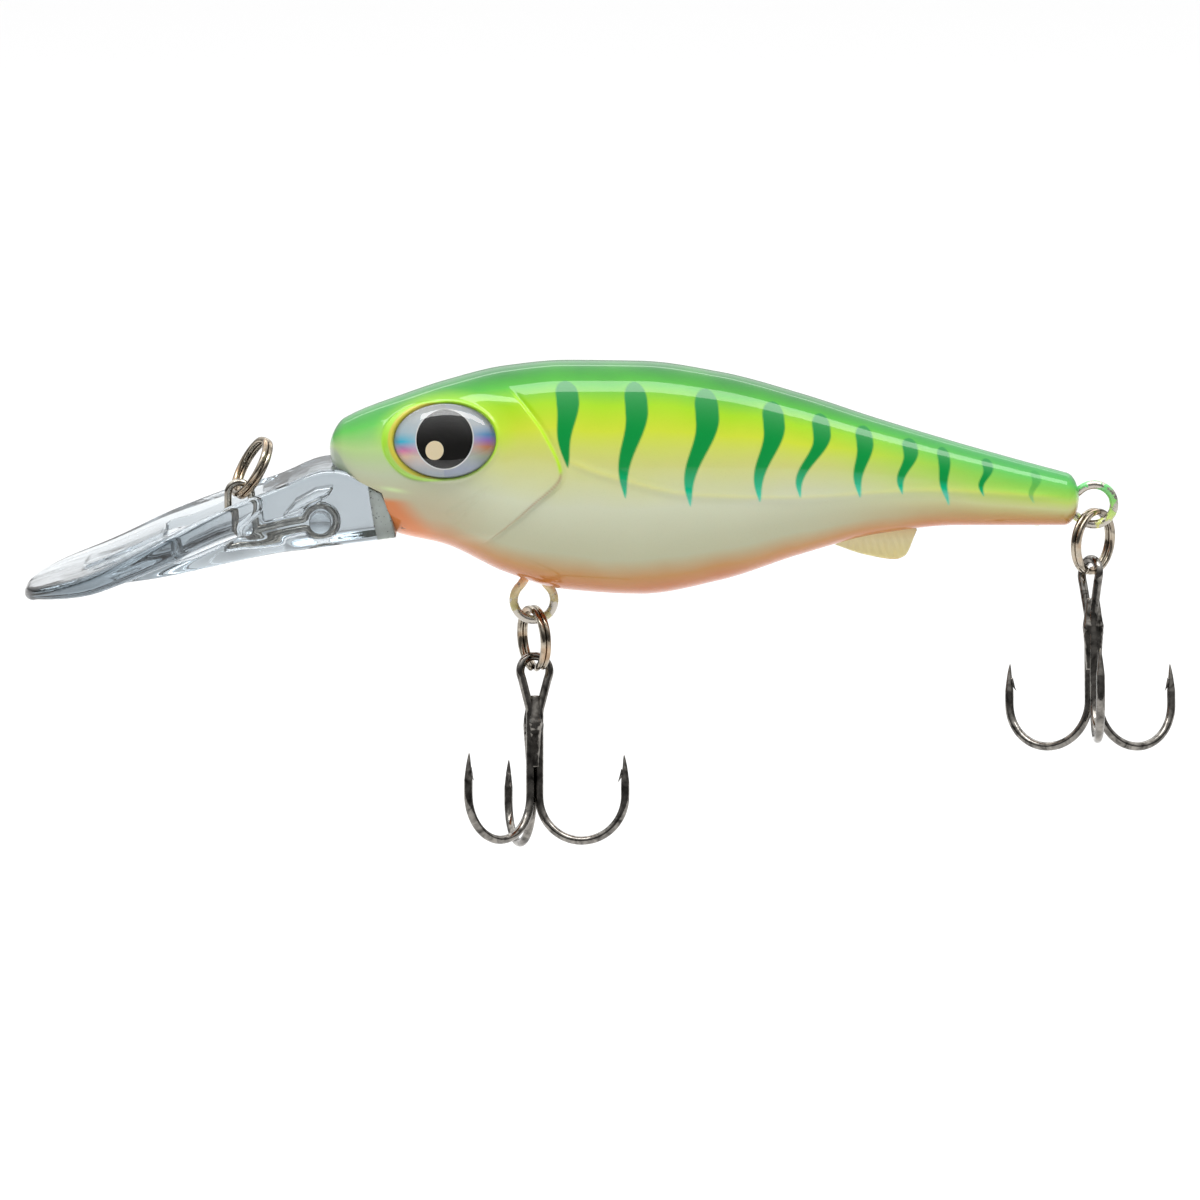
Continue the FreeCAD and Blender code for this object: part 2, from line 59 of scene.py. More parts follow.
def spline(knots_x, knots_y, x):
    """A smooth curve through the knots that does not overshoot them."""
    kx, ky = np.asarray(knots_x, float), np.asarray(knots_y, float)
    step = np.diff(kx)
    slope = np.diff(ky) / step
    tangent = np.zeros_like(ky)
    both = slope[:-1] * slope[1:] > 0
    tangent[1:-1][both] = 2 * slope[:-1][both] * slope[1:][both] / (slope[:-1] + slope[1:])[both]
    tangent[0], tangent[-1] = slope[0], slope[-1]
    x = np.clip(x, kx[0], kx[-1])
    cell = np.clip(np.searchsorted(kx, x) - 1, 0, len(kx) - 2)
    t = (x - kx[cell]) / step[cell]
    a, b = ky[cell], ky[cell + 1]
    m, n = tangent[cell] * step[cell], tangent[cell + 1] * step[cell]
    return ((2 * t**3 - 3 * t**2 + 1) * a + (t**3 - 2 * t**2 + t) * m
            + (3 * t**2 - 2 * t**3) * b + (t**3 - t**2) * n)


def add_object(name, data):
    """A new object in the scene."""
    obj = bpy.data.objects.new(name, data)
    bpy.context.scene.collection.objects.link(obj)
    return obj


def make_object(name, verts_mm, faces, smooth=True):
    """A mesh object from millimetre points."""
    mesh = bpy.data.meshes.new(name)
    points = [tuple(v) for v in np.asarray(verts_mm, float) * MM]
    mesh.from_pydata(points, [], [tuple(f) for f in faces])
    mesh.validate()
    mesh.update()
    if smooth:
        mesh.polygons.foreach_set("use_smooth", [True] * len(mesh.polygons))
    return add_object(name, mesh)


def recalc_normals(obj):
    """Point every face outward."""
    bm = bmesh.new()
    bm.from_mesh(obj.data)
    bmesh.ops.recalc_face_normals(bm, faces=bm.faces)
    bm.to_mesh(obj.data)
    bm.free()


def paint_attribute(obj, name, values):
    """One number per vertex for a material to read."""
    layer = obj.data.attributes.new(name, "FLOAT", "POINT")
    layer.data.foreach_set("value", np.asarray(values, np.float32))


def settle(obj, body, material, slot, *nodes):
    """Give a piece its material, body and the CAD nodes that it stands for."""
    obj.data.materials.clear()
    obj.data.materials.append(material)
    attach(obj, body)
    if nodes:
        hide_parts(*nodes)
    return obj


def grid_faces(rows, cols, close_cols=False):
    """Quads of a grid of points stored row by row."""
    faces = []
    last = cols if close_cols else cols - 1
    for r in range(rows - 1):
        for c in range(last):
            d = (c + 1) % cols
            faces.append((r * cols + c, r * cols + d, (r + 1) * cols + d, (r + 1) * cols + c))
    return faces


def double_faces(rows, cols):
    """Two grid skins, the second facing back, joined along their border into one closed surface."""
    total = rows * cols
    faces = grid_faces(rows, cols)
    faces += [tuple(i + total for i in reversed(f)) for f in grid_faces(rows, cols)]
    border = [r * cols for r in range(rows)] + [(rows - 1) * cols + c for c in range(1, cols)]
    border += [r * cols + cols - 1 for r in range(rows - 2, -1, -1)] + list(range(cols - 2, 0, -1))
    for a, b in zip(border, border[1:] + border[:1]):
        faces.append((a, b, b + total, a + total))
    return faces


def barrel_faces(rows, cols):
    """Quads round a barrel with a cap at each end."""
    faces = grid_faces(rows, cols, close_cols=True)
    return faces + [tuple(range(cols)), tuple(reversed(range((rows - 1) * cols, rows * cols)))]


def build_piece(name, shape, body, material, slot, *nodes):
    """A closed piece made from its points and faces, turned outward and settled."""
    obj = make_object(name, *shape)
    recalc_normals(obj)
    return settle(obj, body, MATERIALS[material], slot, *nodes)


# ---- node helpers ----


class Nodes:
    """A short way to write a node material, or the nodes of an owner that is handed in."""

    def __init__(self, name, owner=None):
        self.material = owner or bpy.data.materials.new(name)
        self.material.use_nodes = True
        self.tree = self.material.node_tree
        self.shader = self.tree.nodes.get("Principled BSDF")

    def add(self, kind, **settings):
        node = self.tree.nodes.new(kind)
        for key, value in settings.items():
            setattr(node, key, value)
        return node

    def link(self, source, target):
        self.tree.links.new(source, target)

    def put(self, socket, value):
        if isinstance(value, bpy.types.NodeSocket):
            self.link(value, socket)
        else:
            socket.default_value = value

    def attribute(self, name):
        return self.add("ShaderNodeAttribute", attribute_name=name).outputs["Fac"]

    def math(self, operation, a, b=0.0, c=0.0, clamp=False):
        node = self.add("ShaderNodeMath", operation=operation, use_clamp=clamp)
        for socket, value in zip(node.inputs, (a, b, c)):
            self.put(socket, value)
        return node.outputs[0]

    def mix(self, factor, a, b, blend="MIX"):
        node = self.add("ShaderNodeMix", data_type="RGBA", blend_type=blend)
        self.put(node.inputs["Factor"], factor)
        for socket, value in zip(node.inputs[6:8], (a, b)):
            self.put(socket, value)
        return node.outputs[2]

    def ramp(self, factor, stops, mode="LINEAR"):
        node = self.add("ShaderNodeValToRGB")
        node.color_ramp.interpolation = mode
        while len(node.color_ramp.elements) < len(stops):
            node.color_ramp.elements.new(0.5)
        for element, (place, colour) in zip(node.color_ramp.elements, stops):
            element.position = place
            element.color = colour
        self.put(node.inputs["Fac"], factor)
        return node.outputs["Color"]

    def axes(self, vector):
        """The X, Y and Z outputs of a vector."""
        split = self.add("ShaderNodeSeparateXYZ")
        self.link(vector, split.inputs[0])
        return split.outputs

    def span(self, value, low, high, mode="SMOOTHSTEP", ends=(0.0, 1.0)):
        """The first end where the value is low and the second where it is high."""
        node = self.add("ShaderNodeMapRange", interpolation_type=mode)
        self.put(node.inputs["Value"], value)
        node.inputs["From Min"].default_value = low
        node.inputs["From Max"].default_value = high
        node.inputs["To Min"].default_value, node.inputs["To Max"].default_value = ends
        return node.outputs[0]

    def reach(self, a, b):
        """The length of a flat vector."""
        return self.math("SQRT", self.math("ADD", self.math("MULTIPLY", a, a), self.math("MULTIPLY", b, b)))

    def position(self, scale=(1000, 1000, 1000)):
        """Object coordinates in millimetres."""
        coords = self.add("ShaderNodeTexCoord")
        mapping = self.add("ShaderNodeMapping")
        mapping.inputs["Scale"].default_value = scale
        self.link(coords.outputs["Object"], mapping.inputs["Vector"])
        return mapping.outputs["Vector"]

    def noise(self, vector, scale, detail=3.0, rough=0.5, distortion=0.0):
        node = self.add("ShaderNodeTexNoise")
        self.put(node.inputs["Vector"], vector)
        node.inputs["Scale"].default_value = scale
        node.inputs["Detail"].default_value = detail
        node.inputs["Roughness"].default_value = rough
        node.inputs["Distortion"].default_value = distortion
        return node.outputs["Fac"]

    def bump(self, height, strength, distance=0.0001):
        node = self.add("ShaderNodeBump")
        node.inputs["Strength"].default_value = strength
        node.inputs["Distance"].default_value = distance
        self.put(node.inputs["Height"], height)
        self.link(node.outputs["Normal"], self.shader.inputs["Normal"])
        return node.outputs["Normal"]

    def set(self, **values):
        for key, value in values.items():
            self.put(self.shader.inputs[key.replace("_", " ")], value)
        return self


def srgb(r, g, b):
    """A linear colour from display values out of 255."""
    def line(v):
        v /= 255
        return v / 12.92 if v <= 0.04045 else ((v + 0.055) / 1.055) ** 2.4
    return (line(r), line(g), line(b), 1.0)


BLACK, WHITE = (0, 0, 0, 1), (1, 1, 1, 1)


# ---- body form ----

# Cross-sections of the body between its two rounded ends: place, top, bottom and half width.
STATION = [9.7, 13, 17, 22, 28.5, 35, 43, 51.5, 60, 68.5, 77, 84, 88.4]
TOP = [7.4, 9.1, 10.6, 12.3, 13.9, 14.5, 14.4, 13.2, 10.9, 8.1, 5.5, 3.5, 2.3]
BOTTOM = [2.4, -2.4, -4.2, -5.4, -8.5, -10.4, -10.9, -9.4, -6.6, -4.3, -3.4, -3.4, -3.4]
HALF = [2.4, 4.4, 5.5, 6.3, 7.0, 7.2, 7.1, 6.4, 5.4, 4.3, 3.4, 2.8, 2.4]
NOSE, TAIL = 9.7, 89.9
NOSE_HEIGHT, TAIL_HEIGHT = 5, -0.5
END_ROUND = 1.6
WALL = 1.25
MOUTH_X = [9.0, 9.9, 15.4, 16.9, 17.2]
MOUTH_Z = [3.9, 3.6, 1.1, -4.15, -9.0]
EYE_X, EYE_Y, EYE_Z = 22.1, 5.75, 7.05
EYE_LONG, EYE_HIGH = 5.45, 3.95


def sections(x):
    """Top, bottom and half width along the body, closed at both ends by a quarter ellipse."""
    x = np.asarray(x, float)
    reach = np.minimum(x - NOSE, TAIL - x) / END_ROUND
    keep = np.maximum(np.sqrt(1 - (1 - np.clip(reach, 0, 1)) ** 2), 0.12)
    centre = np.where(x < NOSE + END_ROUND, NOSE_HEIGHT, TAIL_HEIGHT)
    top = centre + (spline(STATION, TOP, x) - centre) * keep
    bottom = centre + (spline(STATION, BOTTOM, x) - centre) * keep
    return top, bottom, spline(STATION, HALF, x) * keep


def eye_matrix(side):
    """The eye's seat: local X toward the tail, local Z out of the flank."""
    out = Vector((-0.13, side * 0.93, 0.34)).normalized()
    along = Vector((0.995, side * 0.13, 0.03))
    along = (along - out * along.dot(out)).normalized()
    up = out.cross(along)
    if side > 0:
        along, up = -along, -up
    basis = Matrix((along, up, out)).transposed().to_4x4()
    return Matrix.Translation((EYE_X, side * EYE_Y, EYE_Z)) @ basis


def eye_coords(points, side):
    """Points in the eye's own frame, with a tail-ward first axis on both sides."""
    inverse = np.array(eye_matrix(side).inverted())
    local = points @ inverse[:3, :3].T + inverse[:3, 3]
    if side > 0:
        local[:, 0] *= -1
    return local


def relief(x, z):
    """Moulded detail on the flank: raised gill cover, lateral crease and two faint cheek lines."""
    gill = spline([-4.5, 0, 3.6, 7.5, 13], [26, 31.1, 34.4, 32.8, 28.4], z)
    ahead = x - gill
    inside = smoothstep(-4.6, -2.6, z) * (1 - smoothstep(10.6, 12.4, z))
    height = 0.34 * smoothstep(-5.5, -0.2, ahead) * (1 - smoothstep(-0.12, 0.16, ahead)) * inside
    height -= 0.10 * np.exp(-((ahead - 0.35) / 0.3) ** 2) * inside
    crease = spline([35, 40, 49, 60, 72, 89], [5, 3.3, 1.3, 0.8, 1.2, 0], x)
    along = smoothstep(34.6, 36.5, x) * (1 - smoothstep(84, 89, x))
    height += 0.13 * np.exp(-((z - crease) / 0.42) ** 2) * along
    height -= 0.05 * np.exp(-((z - crease + 0.9) / 0.5) ** 2) * along
    for x0, z0, x1, z1 in ((22.2, -0.9, 26.9, 2.1), (23.3, -2.0, 26.2, 1.3)):
        t = np.clip(((x - x0) * (x1 - x0) + (z - z0) * (z1 - z0)) / ((x1 - x0) ** 2 + (z1 - z0) ** 2), 0, 1)
        gap = np.hypot(x - x0 - t * (x1 - x0), z - z0 - t * (z1 - z0))
        height -= 0.07 * np.exp(-(gap / 0.16) ** 2)
    return height, ahead, inside, z - crease, along


def body_points(side, xs, angles):
    """Outer surface of one half: a grid over stations and angles from back to belly."""
    top, bottom, half = sections(xs)
    power = 2 / 2.12
    sine, cosine = np.sin(angles), np.cos(angles)
    y = half[:, None] * (sine ** power)[None, :]
    rise = np.sign(cosine) * np.abs(cosine) ** power
    z = (top + bottom)[:, None] / 2 + (top - bottom)[:, None] / 2 * rise[None, :]
    x = np.repeat(xs[:, None], len(angles), 1)
    points = np.stack([x, side * y, z], -1)
    normal = np.stack([np.zeros_like(y), side * np.maximum(y, 0) / half[:, None] ** 2,
                       (z - (top + bottom)[:, None] / 2) / ((top - bottom)[:, None] / 2) ** 2], -1)
    normal /= np.linalg.norm(normal, axis=-1, keepdims=True) + 1e-9
    return points, normal, top, bottom


# Each dark bar: its place along the body, its width, the height of its tip, and how far the tip drifts.
BARS = [(35, 2.4, 4.3, 0), (42.3, 2.4, 1, -1.2), (49.8, 2.5, 0, -1.8), (56.9, 2.3, 0.3, -1.5),
        (62, 1.9, 0.7, -2.3), (66.6, 1.8, 0.5, -0.5), (71.5, 1.6, 0.8, -0.9), (75.1, 1.3, -0.6, 0.5),
        (79.8, 1.1, 0.4, -0.5), (85, 1, -0.5, -0.3)]
BAR_TOP = 0.94
BAR_WAVE = 0.2


def stripe_mask(x, z):
    """Dark bars with crisp wavy edges, a rounded top and a tapered tip."""
    mask = np.zeros_like(x)
    for place, width, tip, drift in BARS:
        top, bottom, _ = sections(place)
        t = (z - tip) / (bottom + BAR_TOP * (top - bottom) - tip)
        middle = place + drift * (1 - smoothstep(0.1, 0.75, t)) + BAR_WAVE * np.sin(8 * t + 2)
        swell = np.clip(t / 0.75, 0, 1) ** 0.7 * np.sqrt(1 - np.clip((t - 0.86) / 0.14, 0, 1) ** 2)
        cover = smoothstep(-0.10, 0.10, width / 2 * swell - np.abs(x - middle))
        mask = np.maximum(mask, cover * (t > 0) * (t < 1))
    return mask


def build_shell(side, name, node):
    """One half of the body: relief, eye socket, mouth notch, wall thickness and paint masks, among them
    painted highlights and painted shade on the gill edge and mouth corner.
    """
    count = 620 if FINE else 260
    bands = 190 if FINE else 90
    nose = NOSE + 0.9 * np.linspace(0, 1, 26)[:-1] ** 1.6
    tail = TAIL - 1.2 * np.linspace(1, 0, 22)[1:] ** 1.6
    xs = np.concatenate([nose, np.linspace(NOSE + 0.9, TAIL - 1.2, count), tail])
    angles = np.linspace(0, math.pi, bands)
    points, normal, top, bottom = body_points(side, xs, angles)
    flat, flat_normal = points.reshape(-1, 3), normal.reshape(-1, 3)
    x, z = flat[:, 0], flat[:, 2]
    raised, ahead, gill_zone, from_crease, crease_zone = relief(x, z)
    side_face = smoothstep(0.12, 0.45, np.abs(flat_normal[:, 1]))
    local = eye_coords(flat, side)
    ring = np.hypot(local[:, 0] / EYE_LONG, local[:, 1] / EYE_HIGH)
    same_side = smoothstep(-5.0, -3.5, local[:, 2])
    forward = smoothstep(-0.1, 0.9, -local[:, 0] / EYE_LONG)
    inner_edge = 1.0 + 0.13 * forward
    outer_edge = inner_edge + 0.05 + 0.07 * forward
    beyond = smoothstep(inner_edge - 0.02, inner_edge + 0.02, ring)
    olive_rim = smoothstep(0.99, 1.01, ring) * (1 - beyond) * same_side
    lime_rim = beyond * same_side
    lime_rim *= 1 - smoothstep(outer_edge - 0.02, outer_edge + 0.03, ring)
    swell = np.exp(-((ring - 1.04 - 0.05 * forward) / (0.05 + 0.04 * forward)) ** 2) * same_side
    groove = np.exp(-((ring - outer_edge + 0.02) / 0.03) ** 2) * same_side
    flat = flat + flat_normal * (raised * side_face + 0.30 * swell - 0.12 * groove)[:, None]
    socket = (1 - smoothstep(0.97, 1.03, ring)) * same_side
    flat = flat - flat_normal * (1.0 * socket)[:, None]
    mouth = np.interp(x, MOUTH_X, MOUTH_Z)
    cut = x < 17.2
    flat[cut, 2] = np.maximum(flat[cut, 2], mouth[cut])
    flat[:, 1] = side * np.maximum(side * flat[:, 1], 0)
    centre = np.repeat((top + bottom) / 2, bands)
    inner = flat - flat_normal * WALL
    inner[:, 0] = np.clip(flat[:, 0], NOSE + 1.6, TAIL - 1.6)
    inner[:, 1] = side * np.maximum(side * inner[:, 1], 0)
    pinch = np.repeat(np.minimum((top - bottom) / 2 - 0.2, 1.0), bands)
    inner[:, 2] = np.where(z > centre, np.maximum(inner[:, 2], centre + 0.02 * pinch),
                           np.minimum(inner[:, 2], centre - 0.02 * pinch))
    inner[cut, 2] = np.maximum(inner[cut, 2], np.minimum(mouth[cut] + 1.2, centre[cut]))
    obj = make_object(name, np.concatenate([flat, inner]), double_faces(len(xs), bands))
    girth = (z - np.repeat(bottom, bands)) / np.repeat(top - bottom, bands)
    masks = {
        "girth": girth,
        "stripe": stripe_mask(x, z) * (1 - 0.5 * smoothstep(83.0, 84.0, x)),
        "olive_rim": olive_rim,
        "lime_rim": lime_rim,
        "halo": ((1 - smoothstep(1.05, 1.55, ring)) * same_side
                 * smoothstep(-0.6, 0.4, local[:, 1] / EYE_HIGH)),
        "chin": (1 - smoothstep(17.0, 20.4, x + 0.75 * (z + 1.2))) * (1 - smoothstep(0.0, 0.8, z)),
        # corner: painted highlight, a pale spot on the raised mouth corner
        "corner": np.exp(-((x - 16.6) / 1.3) ** 2 - ((z - 1.55 + 0.12 * (x - 16.6)) / 0.24) ** 2),
        "bare_edge": ((1 - smoothstep(-0.15, 0.15, x - 10.75 - 0.64 * (5.0 - z)))
                      * (1 - smoothstep(4.7, 5.6, z))),
        "socket": socket,
        # gill: painted highlight, a bright line along the upper edge of the raised gill cover
        "gill": np.exp(-((ahead - 0.02) / 0.2) ** 2) * gill_zone * side_face * smoothstep(3.2, 4.2, z),
        # lower gill: painted shade, a brown line along the lower edge of the gill-cover step
        "lower_gill_painted_shade": (np.exp(-((ahead - 0.05) / 0.16) ** 2) * gill_zone * side_face
                       * (1 - smoothstep(3.2, 4.0, z))),
        "crease": np.exp(-(from_crease / 0.22) ** 2) * crease_zone * side_face,
    }
    for key, values in masks.items():
        paint_attribute(obj, key, np.concatenate([values, values]))
    recalc_normals(obj)
    return settle(obj, "lure_body", MATERIALS["paint"], "painted_abs", node)


def build_fin():
    """The thin clear fin under the tail, with fine rays."""
    columns, rows = 60, 22
    xs = np.linspace(62.6, 72.2, columns)
    root = spline(STATION, BOTTOM, xs) + 0.9
    edge = spline([62.6, 67, 70, 71, 72.2], [-5.1, -6.7, -7.2, -6.8, -4], xs)
    points = []
    for face_side in (-1, 1):
        for i in range(columns):
            for j in range(rows):
                t = j / (rows - 1)
                z = root[i] + (min(edge[i], root[i] - 0.2) - root[i]) * t
                thick = 0.5 * (1 - 0.55 * t) * (1 - 0.9 * smoothstep(0.93, 1.0, t))
                thick *= 1 - 0.85 * smoothstep(0.94, 1.0, abs(2 * i / (columns - 1) - 1))
                ray = 0.05 * math.cos((xs[i] + 0.25 * z) * 2 * math.pi / 0.75) * smoothstep(0.15, 0.5, t)
                points.append((xs[i] + 0.5 * t * (i / columns - 0.2), face_side * (thick + ray), z))
    build_piece("anal_fin", (points, double_faces(columns, rows)), "lure_body", "fin", "painted_abs")


# ---- body paint ----


def paint_material():
    """Airbrushed green back, yellow shoulder, pearl flank and orange belly under a gloss coat, with painted
    highlights on the upper gill edge and mouth corner and painted shade along the lower gill edge.
    """
    n = Nodes("airbrushed_body_paint")
    where = n.position()
    drift = n.noise(where, 0.16, 2.0)
    wobble = n.math("MULTIPLY_ADD", drift, 0.05, -0.025)
    girth = n.math("ADD", n.attribute("girth"), wobble)
    flank = n.ramp(girth, [
        (0, srgb(170, 76, 8)), (0.1, srgb(176, 126, 66)), (0.2, srgb(178, 178, 146)),
        (0.42, srgb(194, 198, 170)), (0.62, srgb(194, 197, 116)), (0.75, srgb(190, 204, 56)),
        (0.85, srgb(148, 196, 6)), (0.93, srgb(60, 160, 26)), (1, srgb(4, 104, 36))])
    tail = n.ramp(girth, [
        (0, srgb(170, 76, 8)), (0.2, srgb(180, 142, 80)), (0.36, srgb(192, 194, 132)),
        (0.5, srgb(178, 200, 92)), (0.62, srgb(148, 200, 82)), (0.85, srgb(80, 176, 72)),
        (1, srgb(10, 130, 54))])
    along = n.axes(where)["X"]
    colour = n.mix(n.span(along, 58, 84), flank, tail)
    head = n.ramp(girth, [
        (0, srgb(190, 104, 50)), (0.2, srgb(180, 162, 130)), (0.5, srgb(176, 184, 154)),
        (0.7, srgb(166, 194, 130)), (0.88, srgb(74, 168, 60)), (1, srgb(4, 118, 36))])
    colour = n.mix(n.span(along, 30, 17), colour, head)
    bar_colour = n.ramp(n.attribute("girth"), [
        (0.44, srgb(70, 190, 160)), (0.50, srgb(0, 168, 120)), (0.60, srgb(0, 136, 60)),
        (1.0, srgb(0, 126, 46))])
    for mask, strength, paint in (
            # the gill entry paints a highlight: a bright lime line on the upper gill edge
            ("crease", 0.2, srgb(226, 222, 96)), ("gill", 0.9, srgb(172, 222, 10)),
            # the lower gill entry paints shade: a brown line along the lower gill-cover step
            ("lower_gill_painted_shade", 0.75, srgb(176, 140, 104)), ("stripe", 1.0, bar_colour),
            ("halo", 0.55, srgb(172, 214, 40)), ("chin", 1.0, srgb(204, 120, 64)),
            # the corner entry paints a highlight: a pale spot on the mouth corner
            ("corner", 0.6, srgb(200, 230, 160)), ("bare_edge", 1.0, srgb(158, 172, 148)),
            ("olive_rim", 1.0, srgb(186, 178, 62)), ("lime_rim", 0.8, srgb(150, 206, 30)),
            ("socket", 1.0, srgb(70, 74, 60))):
        colour = n.mix(n.math("MULTIPLY", n.attribute(mask), strength), colour, paint)
    speckle = n.noise(where, 7.0, 2.0, 0.7)
    dust = n.ramp(speckle, [(0.30, (0.86, 0.86, 0.86, 1)), (0.42, WHITE)])
    colour = n.mix(0.35, colour, dust, "MULTIPLY")
    n.set(Base_Color=colour, Metallic=0.0, Roughness=0.34, Coat_Weight=1.0)
    n.set(Coat_Roughness=0.035, Coat_IOR=1.4, Specular_IOR_Level=0.1)
    n.set( Subsurface_Weight=0.05, Subsurface_Scale=0.002)
    orange_peel = n.noise(where, 1.6, 2.0)
    n.bump(orange_peel, 0.05, 0.0002)
    return n.material


def fin_material():
    """Cream translucent plastic with a thin orange edge."""
    n = Nodes("translucent_fin_plastic")
    depth = n.math("SUBTRACT", -3.0, n.axes(n.position())["Z"])
    colour = n.ramp(n.math("DIVIDE", depth, 4.6), [(0.1, srgb(222, 190, 130)), (0.45, srgb(236, 226, 170)),
                                                   (0.85, srgb(238, 224, 150)), (0.97, srgb(226, 160, 80))])
    streak = n.noise(n.position((2600, 400, 300)), 1.0, 3.0)
    colour = n.mix(n.math("MULTIPLY", streak, 0.35), colour, srgb(205, 180, 110))
    n.set(Base_Color=colour, Roughness=0.22, Transmission_Weight=0.35, IOR=1.5, Coat_Weight=0.6)
    n.set(Coat_Roughness=0.05)
    return n.material


# ---- metal ----


def metal_material(name, light, dark, rough, tint=None):
    """Plated wire: soft streaks, faint scratches and slightly uneven gloss."""
    n = Nodes(name)
    where = n.position()
    patches = n.noise(where, 0.9, 4.0, 0.6, 0.6)
    colour = n.ramp(patches, [(0.32, dark), (0.62, light)])
    if tint is not None:
        warm = n.ramp(n.noise(where, 0.45, 2.0), [(0.5, BLACK), (0.68, WHITE)])
        colour = n.mix(n.math("MULTIPLY", warm, 0.5), colour, tint)
    fine = n.noise(where, 9.0, 3.0, 0.7)
    gloss = n.math("MULTIPLY_ADD", fine, rough * 0.9, rough * 0.5)
    n.set(Base_Color=colour, Metallic=1.0, Roughness=gloss)
    n.bump(n.noise(where, 3.0, 3.0, 0.6), 0.07, 0.00008)
    return n.material


def oversprayed_wire(name, paint_stops, start, end, grip):
    """Bare wire showing through chipped body paint; grip is how well the upper paint holds."""
    n = Nodes(name)
    where = n.position()
    height = n.span(n.axes(where)["Z"], start, end, "LINEAR")
    paint = n.ramp(height, paint_stops)
    chips = n.noise(where, 0.85, 5.0, 0.62)
    cover = n.ramp(n.math("MULTIPLY_ADD", height, grip, chips), [(0.60, BLACK), (0.66, WHITE)])
    colour = n.mix(cover, srgb(176, 170, 160), paint)
    n.set(Base_Color=colour, Metallic=n.math("SUBTRACT", 1.0, cover), Roughness=0.26, Coat_Weight=0.4)
    n.set(Coat_Roughness=0.06)
    n.bump(cover, 0.35, 0.00006)
    return n.material


# ---- clear plastic and eye ----


def clear_material(name, tint, rough, ripple, depth=0.0):
    """Moulded clear plastic with a faint flow ripple."""
    n = Nodes(name)
    n.set(Base_Color=tint, Roughness=rough, Transmission_Weight=1.0, IOR=1.56, Specular_IOR_Level=0.5)
    if ripple:
        n.bump(n.noise(n.position((220, 900, 500)), 0.55, 3.0, 0.5, 0.5), ripple, 0.0004)
    if depth:
        absorb = n.add("ShaderNodeVolumeAbsorption")
        absorb.inputs["Color"].default_value = (0.58, 0.63, 0.66, 1)
        absorb.inputs["Density"].default_value = depth
        n.link(absorb.outputs[0], n.tree.nodes["Material Output"].inputs["Volume"])
    return n.material


def glue_material():
    """Cured grey-green glue: cloudy, with trapped specks."""
    n = Nodes("cured_cloudy_adhesive")
    where = n.position()
    cloud = n.noise(where, 1.1, 4.0, 0.6)
    cloud = n.ramp(cloud, [(0.35, srgb(226, 228, 212)), (0.65, srgb(242, 244, 232))])
    specks = n.ramp(n.noise(where, 3.2, 1.0), [(0.28, srgb(60, 60, 56)), (0.31, WHITE)])
    colour = n.mix(1.0, cloud, specks, "MULTIPLY")
    n.set(Base_Color=colour, Roughness=0.35, Transmission_Weight=0.85, IOR=1.5)
    return n.material


def foil_material():
    """Holographic eye foil: soft coloured patches, a black pupil, a pale line round it and a small dot."""
    n = Nodes("holographic_eye_foil")
    coords = n.add("ShaderNodeAttribute", attribute_name="eye_plane").outputs["Vector"]
    split = n.axes(coords)
    a, b = split["X"], split["Y"]
    height = n.math("MULTIPLY_ADD", b, 0.125, 0.5)
    front = n.ramp(height, [
        (0.1, srgb(160, 176, 190)), (0.3, srgb(250, 205, 170)), (0.37, srgb(245, 135, 190)),
        (0.48, srgb(70, 205, 238)), (0.6, srgb(190, 216, 228)), (0.88, srgb(216, 216, 206))])
    rear = n.ramp(height, [
        (0.15, srgb(130, 148, 190)), (0.3, srgb(165, 175, 140)), (0.42, srgb(220, 145, 105)),
        (0.5, srgb(170, 125, 210)), (0.57, srgb(95, 160, 215)), (0.7, srgb(216, 222, 228))])
    foil = n.mix(n.math("GREATER_THAN", a, 0.0), front, rear)
    corner = n.span(n.math("ABSOLUTE", a), 2.6, 4.6)
    shimmer = n.add("ShaderNodeTexNoise")
    n.put(shimmer.inputs["Vector"], coords)
    shimmer.inputs["Scale"].default_value = 2.2
    pale = n.mix(shimmer.outputs["Fac"], srgb(196, 206, 218), srgb(226, 228, 224))
    strength = n.math("MULTIPLY_ADD", corner, 0.5, 0.5)
    silver = n.mix(strength, pale, foil)
    ring = n.attribute("eye_ring")
    edge = n.ramp(ring, [(0.84, BLACK), (0.98, WHITE)])
    silver = n.mix(n.math("MULTIPLY", edge, 0.5), silver, srgb(158, 162, 160))
    reach = n.reach(a, n.math("SUBTRACT", b, 0.1))
    outline = n.math("LESS_THAN", reach, 3.05)
    pupil = n.math("LESS_THAN", reach, 2.93)
    colour = n.mix(outline, silver, srgb(232, 234, 232))
    colour = n.mix(pupil, colour, srgb(8, 6, 4))
    dot = n.math("LESS_THAN", n.reach(n.math("ADD", a, 1.01), n.math("ADD", b, 1.05)), 0.95)
    colour = n.mix(dot, colour, srgb(255, 236, 196))
    n.set(Base_Color=colour, Metallic=0.0, Roughness=0.4, Specular_IOR_Level=0.05)
    return n.material


